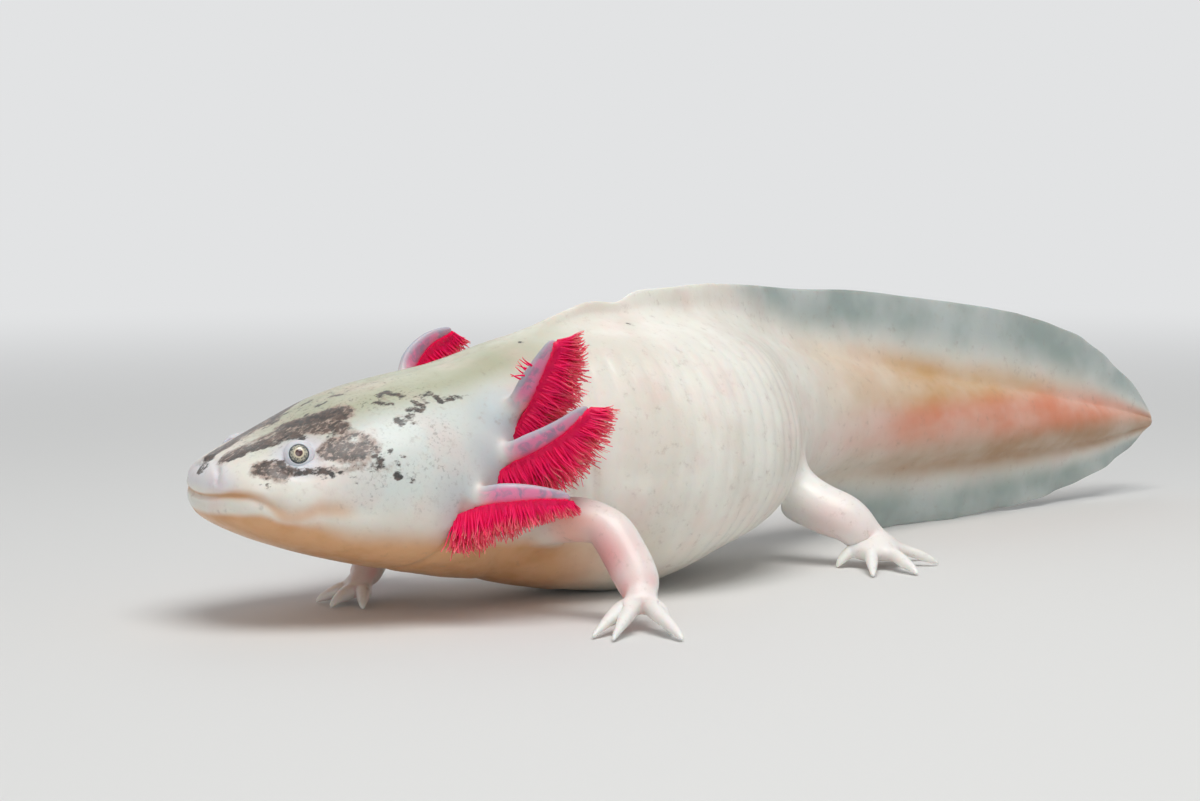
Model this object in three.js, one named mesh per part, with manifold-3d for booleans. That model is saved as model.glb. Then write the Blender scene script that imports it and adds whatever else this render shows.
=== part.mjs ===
// A grown axolotl at life size, at rest on the floor with its body gently bent.
//
// Millimetres, +Z up. The head points to -X and the animal's left side to -Y.
// The body is measured along its spine: "along" is the distance from the snout, "out" the
// distance to the animal's left of the spine (right is negative) and "up" the height.
import * as THREE from 'three';
import { mergeVertices } from 'three/addons/utils/BufferGeometryUtils.js';
import Module from 'manifold-3d';

const wasm = await Module();
wasm.setup();

// ---------------------------------------------------------------- driving dimensions

const LENGTH = 228;            // snout to tail tip, along the spine
const SNOUT = [-112.16, 9.74]; // where the spine starts, on the floor plan
const GAP = 0.3;               // clear space between neighbouring parts
const SPINE_STEP = 0.5;        // step of the spine's integration
const BODY_SIDES = 24;         // corners of a body section
const LIMB_SIDES = 10;
const DIGIT_SIDES = 6;

// direction of the spine from the snout backwards, in degrees from +X: [along, degrees]
const HEADING = [
  [0, -14.4], [40, -13.4], [50, -6.4], [62, 0.6], [76, 6.6], [90, 13.6], [104, 18.6],
  [114, 15.6], [126, 6.6], [140, 1.6], [160, -0.4], [190, 0.6], [LENGTH, 4.6],
];

// body sections without the fins: [along, half width, height of the widest line, top, bottom]
const BODY = [
  [0, 0, 18.9, 18.9, 18.9], [0.4, 4.4, 18.9, 21.2, 16.7], [1.2, 7.0, 18.9, 22.4, 15.3],
  [3, 9.6, 19.0, 23.7, 14.1], [6, 11.8, 18.6, 25.1, 12.6], [10, 13.6, 17.8, 26.9, 11.0],
  [14, 15.2, 17.6, 28.8, 9.7], [20, 17.2, 17.2, 31.5, 8.0], [28, 18.6, 17.0, 33.8, 6.2],
  [35, 17.6, 17.5, 35.0, 4.8], [41, 15.2, 18.5, 36.4, 3.7], [48, 14.6, 19.0, 38.4, 2.2],
  [58, 17.0, 19.0, 39.8, 0.4], [66, 19.0, 19.0, 40.0, -0.5], [74, 20.2, 18.9, 39.8, 0.3],
  [82, 19.8, 18.8, 39.3, 2.4], [94, 16.9, 19.0, 38.4, 4.6], [104, 12.2, 19.4, 37.0, 7.4],
  [112, 10.0, 20.0, 35.4, 9.0], [124, 8.4, 20.6, 32.8, 10.0], [140, 6.8, 20.4, 30.2, 10.8],
  [157, 5.6, 18.6, 26.8, 10.4], [180, 4.0, 16.6, 23.0, 10.2], [200, 2.8, 15.0, 19.4, 10.4],
  [216, 1.8, 13.8, 16.2, 11.4], [LENGTH, 0.5, 13.0, 13.6, 12.4],
];
const SQUARENESS = [[0, 2.4], [12, 2.4], [30, 2.1], [LENGTH, 2.0]]; // superellipse exponent

// height of the fins over and under the body: [along, height]
const FIN_OVER = [
  [44, 0], [50, 0.8], [56, 1.9], [61, 2.6], [65, 3.4], [68, 3.2], [71, 2.8], [73, 4.1], [75.5, 4.8],
  [80, 5.2], [92, 6.2], [104, 7.2], [116, 8.8], [130, 10.4], [148, 12.2], [168, 13.4],
  [186, 13.6], [200, 12.4], [212, 9.6], [220, 6.4], [225, 3.4], [LENGTH, 0],
];
const FIN_UNDER = [
  [112, 0], [120, 1.5], [130, 5], [142, 9.8], [150, 10.8], [160, 10.6], [172, 10.2], [188, 9.2],
  [202, 7.4], [214, 5], [222, 3], [LENGTH, 0],
];
const FIN_ROOT = 0.9;          // half thickness of a fin where it leaves the body
const FIN_EDGE = 0.3;          // half thickness of a fin along its free edge
const FIN_DEPTH = 2.5;         // how far a fin's blade reaches into the body before it is cut

// lengths of the body: [name, from, to]
const LENGTHS = [
  ['head', 0, 42], ['neck', 42, 52], ['chest', 52, 70], ['belly', 70, 88], ['hips', 88, 112],
  ['tail_base', 112, 138], ['tail_middle', 138, 180], ['tail_end', 180, LENGTH],
];
const FIN_LENGTHS = [
  ['fin_back', FIN_OVER, 1, 45, 88], ['fin_rump', FIN_OVER, 1, 88, 124],
  ['fin_tail_upper_front', FIN_OVER, 1, 124, 170], ['fin_tail_upper_rear', FIN_OVER, 1, 170, LENGTH],
  ['fin_tail_lower_front', FIN_UNDER, -1, 113, 160],
  ['fin_tail_lower_rear', FIN_UNDER, -1, 160, LENGTH],
];

const JAW_END = 20;            // how far back the mouth parts the jaw from the head
const EYE_RADIUS = 1.75;
const EYES = { left: [10.9, 10.5, 24.4], right: [9.7, -10, 23.5] }; // centres, as [along, out, up]

// limbs, one for each corner of the body, all as [along, out, up]; radii at the same points
const LIMBS = {
  left_arm: {
    names: ['upper_arm', 'forearm', 'hand'],
    points: [
      [46, 11, 13.4], [48, 18.6, 13.9], [49.8, 22.8, 13.5], [50.2, 26.2, 10], [50.3, 28.9, 7],
      [49.6, 31.4, 4.6],
    ],
    radii: [3.6, 3.2, 3.1, 3.3, 3.3, 2.5], cuts: [0.42, 0.82],
    digits: [[41.9, 36.2, 0.4], [42.7, 39.8, 0.4], [48.6, 40.4, 0.4], [47.8, 44.8, 0.4]],
  },
  right_arm: {
    names: ['upper_arm', 'forearm', 'hand'],
    points: [[46, -11, 12.6], [42.4, -16.6, 11.2], [37.4, -18, 9.4], [31.6, -11.2, 5], [29.6, -9.2, 3.6]],
    radii: [3.6, 3.2, 3.2, 2.5, 2.3], cuts: [0.5, 0.86],
    digits: [[25.5, -14, 0.4], [22.6, -10.8, 0.4], [22.6, -5.6, 0.4], [26, -1.8, 0.4]],
  },
  left_leg: {
    names: ['thigh', 'shin', 'foot'],
    points: [[105.5, 7, 13], [105, 12.4, 10.2], [104.8, 16.8, 8.4], [105.2, 20.2, 7.2], [107, 22.6, 4.1]],
    radii: [4.2, 3.8, 3.6, 3.5, 3.4], cuts: [0.52, 0.85],
    digits: [[101.6, 19.6, 0.4], [95.6, 29, 0.4], [100, 34.2, 0.4], [112.6, 33, 0.4], [120.5, 28.6, 0.4]],
  },
  right_leg: {
    names: ['thigh', 'shin', 'foot'],
    points: [
      [105.5, -7, 13.5], [105, -13.2, 11], [104.6, -18.6, 8.6], [105.6, -21.8, 7.2], [107, -24.2, 4.1],
    ],
    radii: [4.2, 3.7, 3.5, 3.4, 3.3], cuts: [0.52, 0.85],
    digits: [
      [106.2, -35.4, 0.4], [111, -37.6, 0.4], [116.6, -36, 0.4], [119.4, -30.6, 0.4], [116.6, -25, 0.4],
    ],
  },
};
const DIGIT_ROOT = 1.5;
const DIGIT_TIP = 0.65;

// gills: stalk from root to tip, all as [along, out, up]; the filaments hang from one edge of the
// stalk, towards hangRoot at its root and hangTip at its tip; fringe is their length from root to tip
const GILLS = {
  gill_left_upper: {
    stalk: [[40.8, 10.8, 26.6], [42.9, 14.2, 30.6], [44.2, 16.8, 35.6], [45.4, 18.9, 39.8]],
    fringe: [3.6, 6.2, 3.4], hangRoot: [1, 0.45, -0.35], hangTip: [1, 0.4, 0.1],
  },
  gill_left_middle: {
    stalk: [[37.6, 12.2, 22.2], [40.8, 15.9, 23.6], [44.7, 19.8, 26.6], [47.6, 23.3, 30.6]],
    fringe: [4.6, 6.6, 3.6], hangRoot: [0.25, 0.15, -1], hangTip: [1, 0.35, -0.1],
  },
  gill_left_lower: {
    stalk: [[31.6, 14, 17], [35.2, 18.4, 18], [40.4, 21.2, 18.4], [45.6, 23.2, 17.6]],
    fringe: [5.6, 4.4, 1.8], hangRoot: [-0.15, 0.1, -1], hangTip: [0.8, 0.3, -0.8],
  },
  gill_right_upper: {
    stalk: [[35.8, -10.5, 26.6], [39.4, -15.4, 32.6], [44.2, -16.6, 37.1], [51, -16.6, 38.9]],
    fringe: [4.6, 6, 3.2], hangRoot: [1, -0.3, -0.4], hangTip: [0.7, -0.3, -0.7],
  },
  gill_right_middle: {
    stalk: [[35.4, -12.6, 22.6], [39.2, -17, 24.2], [43.8, -20.4, 26.8], [48.6, -23, 28.8]],
    fringe: [4.8, 6.4, 3.4], hangRoot: [0.25, -0.15, -1], hangTip: [0.9, -0.4, -0.5],
  },
  gill_right_lower: {
    stalk: [[31, -13.6, 17.6], [34.8, -18.4, 19], [40, -21.6, 19], [45.4, -23.4, 17.4]],
    fringe: [5.4, 4.6, 2], hangRoot: [-0.1, -0.9, -0.7], hangTip: [0.7, -0.5, -0.8],
  },
};
const STALK_WIDTHS = [2.8, 2.1, 1.6, 0.7];  // half width of a gill stalk from root to tip
const STALK_FLATNESS = 0.55;   // its thickness over its width
const FRINGE_START = 0.12;     // where the filaments start, as a share of the stalk
const FRINGE_TEETH = 6;        // points along the free edge of a fringe
const FRINGE_ROOT = 1;         // half thickness of a fringe at the stalk
const FRINGE_EDGE = 0.3;       // half thickness along its free edge
const TOOTH_DEPTH = 0.16;      // how far its notches reach back, as a share of the filaments' length

// ---------------------------------------------------------------- finishes

const FINISHES = {
  skin: { color: 0xeedfd6, roughness: 0.42 },
  fin: { color: 0xd5d2cb, roughness: 0.45 },
  gill_stalk: { color: 0xcfa6bd, roughness: 0.42 },
  gill_fringe: { color: 0xc2203f, roughness: 0.5 },
  eye: { color: 0x3a3028, roughness: 0.08 },
};

// ---------------------------------------------------------------- curves and sections

// smooth curve through a table that never overshoots its rows; column 0 is the position
function interpolate(table, column, at) {
  const x = (i) => table[i][0];
  const slope = (i) => (table[i + 1][column] - table[i][column]) / (x(i + 1) - x(i));
  const last = table.length - 1;
  const tangent = (i) => {
    if (i === 0 || i === last) return slope(Math.min(i, last - 1));
    const before = slope(i - 1);
    const after = slope(i);
    if (before * after <= 0) return 0;
    const h0 = x(i) - x(i - 1);
    const h1 = x(i + 1) - x(i);
    return 3 * (h0 + h1) / ((2 * h1 + h0) / before + (h1 + 2 * h0) / after);
  };
  const clamped = THREE.MathUtils.clamp(at, x(0), x(last));
  let i = 0;
  while (i < last - 1 && clamped >= x(i + 1)) i += 1;
  const h = x(i + 1) - x(i);
  const t = (clamped - x(i)) / h;
  const t2 = t * t;
  const t3 = t2 * t;
  return (2 * t3 - 3 * t2 + 1) * table[i][column] + (t3 - 2 * t2 + t) * h * tangent(i)
    + (3 * t2 - 2 * t3) * table[i + 1][column] + (t3 - t2) * h * tangent(i + 1);
}

// the body's sections change fastest at the snout, so they are spread over the root of "along"
const BODY_BY_ROOT = BODY.map(([along, ...sizes]) => [Math.sqrt(along), ...sizes]);

const heading = (along) => THREE.MathUtils.degToRad(interpolate(HEADING, 1, along));

const spine = [new THREE.Vector2(...SNOUT)];
for (let along = 0; along < LENGTH; along += SPINE_STEP) {
  const angle = heading(along + SPINE_STEP / 2);
  const step = new THREE.Vector2(Math.cos(angle), Math.sin(angle)).multiplyScalar(SPINE_STEP);
  spine.push(spine[spine.length - 1].clone().add(step));
}

// a point given as [along, out, up]
function place([along, out, up]) {
  const i = Math.min(Math.floor(along / SPINE_STEP), spine.length - 2);
  const at = spine[i].clone().lerp(spine[i + 1], along / SPINE_STEP - i);
  const angle = heading(along);
  return new THREE.Vector3(at.x + out * Math.sin(angle), at.y - out * Math.cos(angle), up);
}

// a direction given as [along, out, up] at a place on the spine
function direct(along, [back, out, up]) {
  const angle = heading(along);
  const x = back * Math.cos(angle) + out * Math.sin(angle);
  const y = back * Math.sin(angle) - out * Math.cos(angle);
  return new THREE.Vector3(x, y, up).normalize();
}

function bodySection(along, grow = 0) {
  const root = Math.sqrt(along);
  const [width, middle, top, bottom] = [1, 2, 3, 4].map((c) => interpolate(BODY_BY_ROOT, c, root));
  const power = 2 / interpolate(SQUARENESS, 1, along);
  const bend = (v) => Math.sign(v) * Math.abs(v) ** power;
  const section = [];
  for (let i = 0; i < BODY_SIDES; i += 1) {
    const angle = 2 * Math.PI * i / BODY_SIDES;
    const height = Math.sin(angle) > 0 ? top - middle : middle - bottom;
    const out = (width + grow) * bend(Math.cos(angle));
    section.push(place([along, out, middle + (height + grow) * bend(Math.sin(angle))]));
  }
  return section;
}

// closed skin over a row of sections with equal corner counts, with a fan at each end
function loft(sections) {
  const sides = sections[0].length;
  const points = sections.flat();
  const faces = [];
  for (let row = 0; row < sections.length - 1; row += 1) {
    for (let i = 0; i < sides; i += 1) {
      const a = row * sides + i;
      const b = row * sides + (i + 1) % sides;
      faces.push(a, a + sides, b, b, a + sides, b + sides);
    }
  }
  const cap = (row, flip) => {
    const centre = new THREE.Vector3();
    sections[row].forEach((p) => centre.addScaledVector(p, 1 / sides));
    points.push(centre);
    for (let i = 0; i < sides; i += 1) {
      const a = row * sides + i;
      const b = row * sides + (i + 1) % sides;
      faces.push(...(flip ? [points.length - 1, b, a] : [points.length - 1, a, b]));
    }
  };
  cap(0, false);
  cap(sections.length - 1, true);
  const geometry = new THREE.BufferGeometry().setFromPoints(points);
  geometry.setIndex(faces);
  return geometry;
}

// section stations from one end to the other, closer together where the shape turns fast
function stations(from, to, spacing) {
  const count = Math.max(2, Math.round((to - from) / spacing));
  return Array.from({ length: count + 1 }, (_, i) => from + (to - from) * i / count);
}

// tapered tube over points and radii; rings are flattened along their second axis
function tube(points, radii, { sides, from = 0, to = 1, rows, flatness = 1, face = null, grow = 0 }) {
  const curve = new THREE.CatmullRomCurve3(points, false, 'centripetal');
  const radiusTable = radii.map((r, i) => [i / (radii.length - 1), r]);
  const sections = stations(from, to, (to - from) / rows).map((t) => {
    const centre = curve.getPoint(t);
    const tangent = curve.getTangent(t);
    const wide = face ? face(t) : new THREE.Vector3(0, 0, 1);
    wide.addScaledVector(tangent, -wide.dot(tangent)).normalize();
    const thin = new THREE.Vector3().crossVectors(tangent, wide);
    const radius = interpolate(radiusTable, 1, t);
    return Array.from({ length: sides }, (_, i) => {
      const angle = 2 * Math.PI * i / sides;
      return centre.clone()
        .addScaledVector(wide, (radius + grow) * Math.cos(angle))
        .addScaledVector(thin, (radius * flatness + grow) * Math.sin(angle));
    });
  });
  return loft(sections);
}

// ---------------------------------------------------------------- joins and cuts

function solid(geometry) {
  const bare = geometry.clone();
  bare.deleteAttribute('normal');
  bare.deleteAttribute('uv');
  const merged = mergeVertices(bare, 1e-4);
  const corners = merged.getAttribute('position').array;
  const faces = Uint32Array.from(merged.index.array);
  let volume = 0;
  const corner = (i) => new THREE.Vector3().fromArray(corners, 3 * faces[i]);
  for (let i = 0; i < faces.length; i += 3) {
    volume += corner(i).dot(corner(i + 1).cross(corner(i + 2)));
  }
  if (volume < 0) faces.reverse();
  const mesh = new wasm.Mesh({ numProp: 3, vertProperties: new Float32Array(corners), triVerts: faces });
  return new wasm.Manifold(mesh);
}

function shell(manifold) {
  const mesh = manifold.getMesh();
  const geometry = new THREE.BufferGeometry();
  geometry.setAttribute('position', new THREE.Float32BufferAttribute(mesh.vertProperties, 3));
  geometry.setIndex(Array.from(mesh.triVerts));
  geometry.computeVertexNormals();
  return geometry;
}

const axolotl = new THREE.Group();

function add(name, manifold, finish) {
  const material = new THREE.MeshStandardMaterial({ ...FINISHES[finish], metalness: 0, flatShading: true });
  const mesh = new THREE.Mesh(shell(manifold), material);
  mesh.name = name;
  axolotl.add(mesh);
}

const underFloor = new THREE.BoxGeometry(600, 600, 40);
underFloor.translate(0, 0, -20);
const floor = solid(underFloor);

// ---------------------------------------------------------------- body

const HEAD_STATIONS = [0.02, 0.4, 1.2, 3, 6, 10, 14, 18, 23, 28, 33, 38];

function bodyLength(from, to, grow = 0) {
  const start = from === 0 ? HEAD_STATIONS : [];
  const first = from === 0 ? HEAD_STATIONS[HEAD_STATIONS.length - 1] : from;
  const rest = stations(first, to, to > 140 ? 12 : 6).slice(from === 0 ? 1 : 0);
  return solid(loft([...start, ...rest].map((along) => bodySection(along, grow))));
}

const grownBody = bodyLength(0, LENGTH, GAP);

// everything in front of the jaw's end and under the line of the mouth
function underMouth(drop, end) {
  const rows = [-2, ...HEAD_STATIONS.filter((along) => along < JAW_END), end];
  return solid(loft(rows.map((along) => {
    const mouth = interpolate(BODY_BY_ROOT, 2, Math.sqrt(Math.max(along, 0))) - drop;
    return [[-30, -5], [30, -5], [30, mouth], [-30, mouth]].map(([out, up]) => {
      const base = place([Math.max(along, 0), out, up]);
      return along < 0 ? base.addScaledVector(direct(0, [1, 0, 0]), along) : base;
    });
  })));
}

function eyeBall(side, grow = 0) {
  const ball = new THREE.SphereGeometry(EYE_RADIUS + grow, 12, 8);
  const centre = place(EYES[side]);
  ball.translate(centre.x, centre.y, centre.z);
  return solid(ball);
}

function addBody() {
  for (const [name, from, to] of LENGTHS) {
    let part = bodyLength(from === 0 ? 0 : from + GAP / 2, to === LENGTH ? LENGTH : to - GAP / 2);
    if (name === 'head') {
      const jaw = part.intersect(underMouth(GAP / 2, JAW_END));
      add('lower_jaw', jaw, 'skin');
      part = part.subtract(underMouth(-GAP / 2, JAW_END + GAP));
      for (const side of Object.keys(EYES)) part = part.subtract(eyeBall(side, GAP));
    }
    add(name, part.subtract(floor), 'skin');
  }
  for (const side of Object.keys(EYES)) add(`eye_${side}`, eyeBall(side), 'eye');
}

// ---------------------------------------------------------------- fins

// a blade that stands on the middle line of the back, or hangs under the tail
function finBlade(heights, side, from, to) {
  return solid(loft(stations(from, to, 7).map((along) => {
    const root = Math.sqrt(along);
    const edge = interpolate(BODY_BY_ROOT, side > 0 ? 3 : 4, root);
    const height = interpolate(heights, 1, along);
    const thick = Math.min(FIN_ROOT, interpolate(BODY_BY_ROOT, 1, root));
    const depth = Math.min(FIN_DEPTH, Math.abs(edge - interpolate(BODY_BY_ROOT, 2, root)));
    const outline = [
      [-thick, -depth], [thick, -depth], [thick, 0], [FIN_EDGE, height], [-FIN_EDGE, height], [-thick, 0],
    ];
    return outline.map(([out, up]) => place([along, out * side, edge + side * up]));
  })));
}

function addFins() {
  for (const [name, heights, side, from, to] of FIN_LENGTHS) {
    const blade = finBlade(heights, side, from + GAP / 2, to - GAP / 2);
    add(name, blade.subtract(grownBody).subtract(floor), 'fin');
  }
}

// ---------------------------------------------------------------- limbs

function digit(palm, tip) {
  const knuckle = palm.clone().lerp(tip, 0.55).add(new THREE.Vector3(0, 0, 0.5));
  return solid(tube([palm, knuckle, tip], [DIGIT_ROOT, DIGIT_ROOT * 0.72, DIGIT_TIP], {
    sides: DIGIT_SIDES, rows: 3,
  }));
}

function addLimb(side, { names, points, radii, cuts, digits }) {
  const joints = points.map(place);
  const span = new THREE.CatmullRomCurve3(joints, false, 'centripetal').getLength();
  const gap = GAP * 1.4 / span;
  const piece = (from, to, grow = 0) => solid(tube(joints, radii, {
    sides: LIMB_SIDES, from, to, rows: Math.max(3, Math.round((to - from) * 11)), grow,
  }));
  add(`${side}_${names[0]}`, piece(0, cuts[0] - gap).subtract(grownBody), 'skin');
  add(`${side}_${names[1]}`, piece(cuts[0], cuts[1] - gap).subtract(grownBody), 'skin');
  const palm = joints[joints.length - 1];
  const grownLower = piece(cuts[0], cuts[1] - gap, GAP);
  let hand = piece(cuts[1], 1);
  for (const tip of digits) hand = hand.add(digit(palm, place(tip)).subtract(grownLower));
  add(`${side}_${names[2]}`, hand.subtract(floor), 'skin');
}

// ---------------------------------------------------------------- gills

// the value at t, from 0 to 1, on a smooth curve through evenly spaced values
function along01(values, t) {
  return interpolate(values.map((value, i) => [i / (values.length - 1), value]), 1, t);
}

function addGill(name, { stalk, fringe, hangRoot, hangTip }) {
  const points = stalk.map(place);
  const curve = new THREE.CatmullRomCurve3(points, false, 'centripetal');
  const root = stalk[1][0];
  const hang = (t) => direct(root, hangRoot).lerp(direct(root, hangTip), t).normalize();
  const shape = { sides: 8, rows: 6, flatness: STALK_FLATNESS, face: hang };
  add(`${name}_stalk`, solid(tube(points, STALK_WIDTHS, shape)).subtract(grownBody), 'gill_stalk');

  const sections = stations(FRINGE_START, 1, (1 - FRINGE_START) / (2 * FRINGE_TEETH)).map((t, i) => {
    const down = hang(t);
    const thin = new THREE.Vector3().crossVectors(curve.getTangent(t), down).normalize();
    const reach = along01(STALK_WIDTHS, t) + along01(fringe, t) * (i % 2 ? 1 : 1 - TOOTH_DEPTH);
    const outline = [[0, FRINGE_ROOT], [1, FRINGE_EDGE], [1, -FRINGE_EDGE], [0, -FRINGE_ROOT]];
    return outline.map(([d, h]) => (
      curve.getPoint(t).addScaledVector(down, reach * d).addScaledVector(thin, h)));
  });
  const grownStalk = solid(tube(points, STALK_WIDTHS, { ...shape, grow: GAP }));
  add(`${name}_fringe`, solid(loft(sections)).subtract(grownStalk).subtract(grownBody), 'gill_fringe');
}

// ---------------------------------------------------------------- whole animal

addBody();
addFins();
for (const [limb, sizes] of Object.entries(LIMBS)) addLimb(limb.split('_')[0], sizes);
for (const [name, sizes] of Object.entries(GILLS)) addGill(name, sizes);

export default axolotl;
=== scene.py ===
import math

import bmesh
import bpy
import numpy as np
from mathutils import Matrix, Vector, noise


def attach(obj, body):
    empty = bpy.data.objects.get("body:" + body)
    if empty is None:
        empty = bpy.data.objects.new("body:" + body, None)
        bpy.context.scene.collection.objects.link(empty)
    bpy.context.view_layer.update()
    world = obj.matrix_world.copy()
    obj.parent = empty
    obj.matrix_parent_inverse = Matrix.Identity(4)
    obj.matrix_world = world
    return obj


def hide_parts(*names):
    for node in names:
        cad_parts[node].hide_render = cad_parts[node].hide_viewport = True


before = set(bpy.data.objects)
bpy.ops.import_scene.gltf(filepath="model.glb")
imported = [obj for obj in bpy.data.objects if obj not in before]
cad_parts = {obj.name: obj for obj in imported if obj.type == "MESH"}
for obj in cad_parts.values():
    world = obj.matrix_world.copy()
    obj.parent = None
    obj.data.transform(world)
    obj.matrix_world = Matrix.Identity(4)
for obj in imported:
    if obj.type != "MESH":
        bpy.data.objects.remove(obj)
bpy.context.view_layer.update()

MM = 0.001

# ---- sizes of the body

LENGTH = 228.0
SNOUT = (-112.16, 9.74)  # where the spine starts, on the floor plan
SPINE_STEP = 0.5

# direction of the spine from the snout backwards, in degrees from +X: (along, degrees)
HEADING = (
    (0, -14.4), (40, -13.4), (50, -6.4), (62, 0.6), (76, 6.6), (90, 13.6), (104, 18.6),
    (114, 15.6), (126, 6.6), (140, 1.6), (160, -0.4), (190, 0.6), (LENGTH, 4.6),
)

# body sections without the fins: (along, half width, height of the widest line, top, bottom)
BODY = (
    (0, 0, 18.9, 18.9, 18.9), (0.4, 4.4, 18.9, 21.2, 16.7), (1.2, 7.0, 18.9, 22.4, 15.3),
    (3, 9.6, 19.0, 23.7, 14.1), (6, 11.8, 18.6, 25.1, 12.6), (10, 13.6, 17.8, 26.9, 11.0),
    (14, 15.2, 17.6, 28.8, 9.7), (20, 17.2, 17.2, 31.5, 8.0), (28, 18.6, 17.0, 33.8, 6.2),
    (35, 17.6, 17.5, 35.0, 4.8), (41, 15.2, 18.5, 36.4, 3.7), (48, 14.6, 19.0, 38.4, 2.2),
    (58, 17.0, 19.0, 39.8, 0.4), (66, 19.0, 19.0, 40.0, -0.5), (74, 20.2, 18.9, 39.8, 0.3),
    (82, 19.8, 18.8, 39.3, 2.4), (94, 16.9, 19.0, 38.4, 4.6), (104, 12.2, 19.4, 37.0, 7.4),
    (112, 10.0, 20.0, 35.4, 9.0), (124, 8.4, 20.6, 32.8, 10.0), (140, 6.8, 20.4, 30.2, 10.8),
    (157, 5.6, 18.6, 26.8, 10.4), (180, 4.0, 16.6, 23.0, 10.2), (200, 2.8, 15.0, 19.4, 10.4),
    (216, 1.8, 13.8, 16.2, 11.4), (LENGTH, 0.5, 13.0, 13.6, 12.4),
)
SQUARENESS = ((0, 2.4), (12, 2.4), (30, 2.1), (LENGTH, 2.0))  # superellipse exponent
MOUTH = (  # height of the line of the mouth: (along, up)
    (0, 18.4), (1, 19.0), (2.2, 19.25), (3.6, 19.2), (4.8, 18.8), (6.2, 17.8), (7.3, 16.95),
    (8.6, 16.5), (9.8, 16.65), (11.1, 17.15), (12.4, 17.6), (14.3, 17.5), (16, 17.2), (20, 16.8),
)
THROAT_SINKS = (  # how far below the mouth the painted peach shade of the throat starts
    (0, 2.1), (3, 2.2), (6.5, 0.9), (9, 0.4), (12, 1.1), (15, 1.3), (20, 1.4), (30, 2.2), (40, 4),
)
MOUTH_FADES = (4.0, 13.0)  # where the line of the mouth runs out into the cheek

# height of the fin over and under the body: (along, height)
FIN_OVER = (
    (44, 0), (50, 0.8), (56, 1.9), (61, 2.6), (65, 3.4), (68, 3.2), (71, 2.8), (73, 4.1), (75.5, 4.8),
    (80, 5.2), (92, 6.2), (104, 7.2), (116, 8.8), (130, 10.4), (148, 12.2), (168, 13.4), (186, 13.6),
    (200, 12.4), (212, 9.6), (220, 6.4), (225, 3.4), (LENGTH, 0),
)
FIN_UNDER = (
    (112, 0), (120, 1.5), (130, 5), (142, 9.8), (150, 10.8), (160, 10.6), (172, 10.2), (188, 9.2),
    (202, 7.4), (214, 5), (222, 3), (LENGTH, 0),
)
FIN_LIFTS = (1.03, 0.92, 0.62, 0.3)  # heights of a fin's columns over its height
FIN_HALVES = (0.0, 0.34, 0.5, 0.75)  # half thicknesses there
FIN_FOOT = 16.0  # degrees from the body's middle line to the foot of a fin
FIN_TAKES_OVER = 3.0  # height at which a fin has columns of its own
FIN_CLEAR = 4.0  # height at which it is as clear as it gets

COLUMNS = 40  # corners of a body section
HALF = COLUMNS // 2  # columns from the top line to the bottom line
MOUTH_COLUMN = HALF // 2

# ---- limbs, gills and eyes

# points are (along, out, up) from the body to the wrist, and digits the (along, out) of each tip;
# the palm has a radius, the heights of its upper and lower edge and webs, as shares of the way to the tips
LIMBS = {
    "left_arm": {
        "points": ((46, 11, 13.4), (48, 18.6, 13.9), (49.8, 22.8, 13.5), (50.2, 26.2, 10),
                   (50.3, 28.9, 7), (49.6, 31.4, 4.6)),
        "radii": (3.9, 3.2, 3.1, 3.3, 3.3, 2.5), "flat": 0.9, "root": (46.7, 12.5), "rows": 2,
        "palm": 2.2, "edges": (4.4, 2.3), "webs": (0.5, 0.16, 0.5),
        "digits": ((41.9, 36.2), (42.7, 39.8), (48.6, 40.4), (47.8, 44.8)),
    },
    "right_arm": {
        "points": ((46, -11, 12.6), (42.4, -16.6, 11.2), (37.4, -18, 9.4), (31.6, -11.2, 5),
                   (29.6, -9.2, 3.6)),
        "radii": (3.9, 3.2, 3.2, 2.5, 2.3), "flat": 0.9, "root": (46.7, 12.5), "rows": 2,
        "palm": 2.3, "edges": (3.0, 0.8), "webs": (0.5, 0.45, 0.5),
        "digits": ((25.5, -14), (22.6, -10.8), (22.6, -5.6), (26, -1.8)),
    },
    "left_leg": {
        "points": ((105.5, 7, 13), (105, 12.4, 10.2), (104.8, 16.8, 8.4), (105.2, 20.2, 7.2),
                   (107, 22.6, 4.1)),
        "radii": (4.5, 4.0, 3.8, 3.7, 3.6), "flat": 0.88, "root": (101.5, 12.5), "rows": 3,
        "palm": 4.2, "edges": (4.8, 0.5), "webs": (0.55, 0.5, 0.55, 0.55),
        "digits": ((101.6, 19.6), (95.6, 29.0), (100, 34.2), (112.6, 33), (120.5, 28.6)),
    },
    "right_leg": {
        "points": ((105.5, -7, 13.5), (105, -13.2, 11), (104.6, -18.6, 8.6), (105.6, -21.8, 7.2),
                   (107, -24.2, 4.1)),
        "radii": (4.5, 3.9, 3.7, 3.6, 3.5), "flat": 0.88, "root": (101.5, 12.5), "rows": 3,
        "palm": 4.0, "edges": (4.6, 0.5), "webs": (0.5, 0.5, 0.55, 0.55),
        "digits": ((106.2, -35.4), (111, -37.6), (116.6, -36), (119.4, -30.6), (116.6, -25)),
    },
}
PATCH_COLUMNS = 3  # columns of the body that open into a limb

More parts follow.
